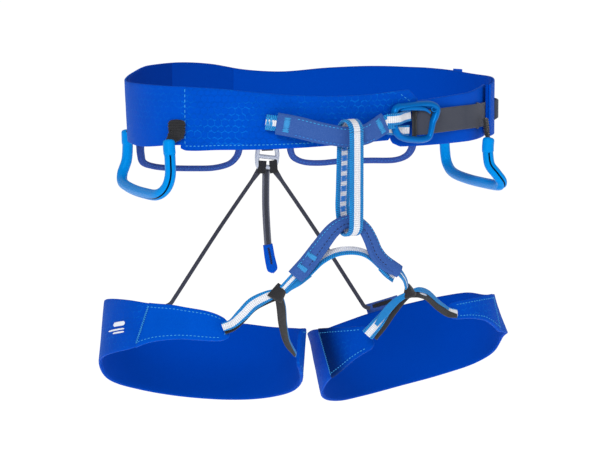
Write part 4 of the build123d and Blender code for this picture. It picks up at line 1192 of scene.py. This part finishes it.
def spline_points(name, route):
    """Points along the smooth NURBS spline of a route, in millimetres."""
    curve = bpy.data.curves.new(name, "CURVE")
    curve.dimensions = "3D"
    curve.resolution_u = 16
    spline = curve.splines.new("NURBS")
    spline.points.add(len(route) - 1)
    for point, place in zip(spline.points, route):
        point.co = (*(c * MM for c in place), 1)
    spline.order_u = 3
    spline.use_endpoint_u = True
    holder = bpy.data.objects.new(name, curve)
    mesh = bpy.data.meshes.new_from_object(holder)
    points = np.array([v.co[:] for v in mesh.vertices]) / MM
    bpy.data.objects.remove(holder)
    bpy.data.meshes.remove(mesh)
    return points


def make_tail():
    x, y = HOOK_X, HOOK_Y + 3.6
    top = HOOK_TOP - 20
    route = [(x, y, top - 1), (x - 0.6, y, top - 22), (x - 0.2, y, top - 48), (x + 1.8, y, top - 73.5)]
    path = spline_points("riser_tail_route", route)
    tail = ribbon("riser_tail_strap", path, (0, -1, 0), 6.8, 1.5, tail_weave, columns=8, crown=0.3)
    dress(tail, "waist_belt", "black_webbing", "riser_adjust_strap")
    end = smooth_route([(x + 1.6, y, top - 71.5), (x + 3.4, y - 0.2, top - 83),
                        (x + 6.2, y - 0.3, top - 95)], 1.2)
    count = len(end)
    width = np.interp(np.arange(count), [0, count - 5, count - 3, count - 2, count - 1],
                      [9.0, 10.2, 9.6, 8.4, 5.5])
    tab = ribbon("riser_tail_end", end, (0, -1, 0), width, 2.8, tab_cloth, columns=8, crown=0.4)
    dress(tab, "waist_belt", "blue_tab", "riser_tail_tab")
    tack = Threads()
    for sign in (-1, 1):
        middle = end[len(end) // 2 - 1] + np.array([-0.3, sign * 1.95, 1.5])
        tack.zigzag(middle, unit(end[-1] - end[0]), np.array([1.0, 0, 0]), np.array([0.0, sign, 0]), 16, 2.4,
                    0.85, 0.34)
    dress(tack.mesh("riser_tail_tack", thread_black), "waist_belt", "black_webbing")


make_hook()
make_risers()
make_tail()


# ---- Gear loops ---------------------------------------------------------------------------------------
def make_front_gear_loop(name, stations):
    body = f"{name}_gear_loop"
    path = smooth_route(stations, 1.1)
    slit = radians(82)
    material = slit_plastic(f"{name}_slit_sheath", AZURE, degrees(slit), 15)
    body_tube = tube(f"{name}_gear_loop_tube", path[9:-9], 4.5, material, 28, up=(0, -1, 0),
                     groove=(slit, radians(17), 1.9))
    dress(body_tube, body, "gear_loop_sheath", f"{name}_gear_loop_sheath")
    for k, run in enumerate((path[:11], path[-11:])):
        radius = np.full(len(run), 5.0)
        radius[[0, -1]] = 4.7
        piece = tube(f"{name}_gear_loop_collar_{k + 1}", run, radius, sheath, 24)
        dress(piece, body, "gear_loop_sheath", *([f"{name}_gear_loop_collars"] if k == 0 else []))
    core = tube(f"{name}_gear_loop_core", path[6:-6], 2.4, black_weave, 10)
    dress(core, body, "black_webbing", f"{name}_gear_loop_cord")


def make_gear_tab(name, direction, foot, turn=0.0, wide=True, nodes=()):
    """A webbing tab gathered under its ridged bar tack, running down into a gear loop's collar. Its top
    stands turn degrees further along the belt than its foot."""
    low = foot[2]
    path = smooth_route([belt.at(direction + turn, low + 16.5, 0.6), belt.at(direction + turn, low + 12, 1.6),
                         belt.at(direction + turn, low + 7, 2.0),
                         belt.at(direction + turn * 0.6, low + 3, 2.6),
                         np.array(foot, float) + (0, 0, -1.5)], 0.5)
    share = np.linspace(0, 1, len(path))
    width = np.interp(share, [0, 0.08, 0.5, 0.62, 0.8, 1],
                      [10, 14.5, 14, 11.5, 8, 6.5] if wide else [6.5] * 6)
    piece = ribbon(name, path, belt.normal(direction), width, 1.6, black_weave, ridge=(2.0, 1.5),
                   serrate=(2.0, 0.35))
    return dress(piece, "waist_belt", "black_webbing", *nodes)


def make_front_gear_loops():
    right = [(-139.2, -61.2, -15), (-139.3, -62.4, -21), (-139.3, -65, -30), (-139.6, -66, -43),
             (-142.6, -63.5, -53), (-147.2, -52, -59.3), (-149.8, -18, -61.4), (-150.8, 18, -61.8),
             (-150.6, 44, -60), (-148.6, 54, -53.6), (-144.2, 57, -43.5), (-143, 57.5, -34),
             (-143, 57.5, -26), (-143.2, 57.5, -18)]
    left = [(137.6, -61, -22), (136.8, -61.5, -28), (136.4, -63, -35), (137, -65.8, -43.5), (142, -68, -50.6),
            (147.6, -66, -57.5), (148.6, -58, -61.6), (147.6, -35, -62.9), (145.6, 5, -63.3),
            (144.4, 38, -61.4), (144.2, 53, -55), (143.6, 56.8, -45), (143.2, 57.5, -32), (143.3, 57.5, -20)]
    make_front_gear_loop("right", right)
    make_front_gear_loop("left", left)
    make_gear_tab("right_gear_loop_tab_front", 227.3, right[0], turn=4.5, nodes=("right_gear_loop_tabs",))
    make_gear_tab("right_gear_loop_tab_rear", 135.5, right[-1])
    make_gear_tab("left_gear_loop_tab_front", -47, left[0], wide=False, nodes=("left_gear_loop_tabs",))
    make_gear_tab("left_gear_loop_tab_rear", 44.5, left[-1])


def make_rear_gear_loops():
    loops = {
        "right": [(97.5, -29), (97.4, -34), (97.6, -41), (98.2, -48), (100, -54), (103.5, -56.6), (108, -56),
                  (115, -53.5), (119.5, -50.5), (122.6, -46), (124.8, -39), (125.6, -33), (125.8, -28)],
        "left": [(86, -29), (86.1, -38), (86, -45), (85.2, -51), (83, -55), (79.5, -56), (75, -54.6),
                 (69, -54), (64, -53.5), (61.4, -50), (60.1, -44), (59.6, -36), (59.5, -28)],
    }
    for name, stations in loops.items():
        places = [belt.at(d, z, 3.4 + 1.4 * swell(k, (len(stations) - 1) / 2, len(stations) / 2))
                  for k, (d, z) in enumerate(stations)]
        path = smooth_route(places, 1.3)
        share = np.linspace(0, 1, len(path))
        radius = np.interp(share, [0, 0.1, 0.2, 0.8, 0.9, 1], [3.2, 3.1, 2.6, 2.6, 3.3, 3.5])
        sleeve = tube(f"rear_{name}_gear_loop_tube", path, radius, loop_cloth, 18)
        dress(sleeve, f"rear_{name}_gear_loop", "loop_sleeve", f"rear_{name}_gear_loop_sleeve")
        core = tube(f"rear_{name}_gear_loop_core", path[7:-7], 1.0, black_weave, 8)
        dress(core, f"rear_{name}_gear_loop", "black_webbing", f"rear_{name}_gear_loop_cord")
        seam = Threads()
        out = np.array([belt.normal(d) for d in np.interp(share, np.linspace(0, 1, len(stations)),
                                                         [d for d, _ in stations])])
        for sign in (1, -1):
            seam.line((path + out * sign * (radius[:, None] * 0.97))[3:-3], (out * sign)[3:-3], 1.8, 1.2,
                      width=0.26)
        dress(seam.mesh(f"rear_{name}_gear_loop_seam", thread_blue), f"rear_{name}_gear_loop", "stitching")
    for k, direction in enumerate((97.5, 125.8, 86, 59.5)):
        tab = ribbon(f"rear_gear_loop_tab_{k + 1}", smooth_route([belt.at(direction, -16, 0.9),
                     belt.at(direction, -24, 1.2), belt.at(direction, -31, 1.8)], 1.2),
                     belt.normal(direction),
                     8, 1.3, black_weave)
        dress(tab, "waist_belt", "black_webbing", *(("rear_gear_loop_tabs",) if k == 0 else ()))


make_front_gear_loops()
make_rear_gear_loops()


# ---- Studio -------------------------------------------------------------------------------------------
WORLD_STRENGTH = 0.42
FLOOR_GLOW = 0.66
LIGHTS = (("key", (-1.1, -2.0, 1.3), 0.9, 34), ("fill", (1.2, -2.2, 0.5), 1.2, 7))


def make_studio():
    """A white world, a pale floor that glows a little and two soft lights: name, place, size and power."""
    world = bpy.data.worlds.new("studio")
    bpy.context.scene.world = world
    bpy.context.scene.view_settings.view_transform = "Standard"
    world.use_nodes = True
    world.node_tree.nodes["Background"].inputs[0].default_value = (1, 1, 1, 1)
    world.node_tree.nodes["Background"].inputs[1].default_value = WORLD_STRENGTH
    white = Shader("studio_white", (0.9, 0.9, 0.9, 1), 0.95, Specular_IOR_Level=0.0,
                   Emission_Color=(1, 1, 1, 1), Emission_Strength=FLOOR_GLOW)
    bpy.ops.mesh.primitive_plane_add(size=60, location=(0, 6, -0.9))
    floor = bpy.context.object
    floor.name = "studio_floor"
    floor.data.materials.append(white.material)
    for name, place, size, power in LIGHTS:
        light = bpy.data.lights.new(name, "AREA")
        light.size = size
        light.energy = power
        lamp = bpy.data.objects.new(name, light)
        lamp.location = place
        lamp.rotation_euler = (Vector((0, 0, -0.1)) - Vector(place)).to_track_quat("-Z", "Y").to_euler()
        bpy.context.scene.collection.objects.link(lamp)


def make_camera():
    """From the front and a little above, turned towards the wearer's right, with a long lens."""
    camera = bpy.data.objects.new("camera", bpy.data.cameras.new("camera"))
    target = Vector((-0.0075, -0.0109, -0.0949))
    azimuth, elevation, distance = radians(-18), radians(7.6), 2.4
    level = distance * cos(elevation)
    camera.location = target + Vector((level * sin(azimuth), -level * cos(azimuth),
                                       distance * sin(elevation)))
    camera.rotation_euler = (target - camera.location).to_track_quat("-Z", "Y").to_euler()
    camera.data.lens = 168.6
    camera.data.sensor_width = 36
    bpy.context.scene.collection.objects.link(camera)
    bpy.context.scene.camera = camera


make_studio()
make_camera()
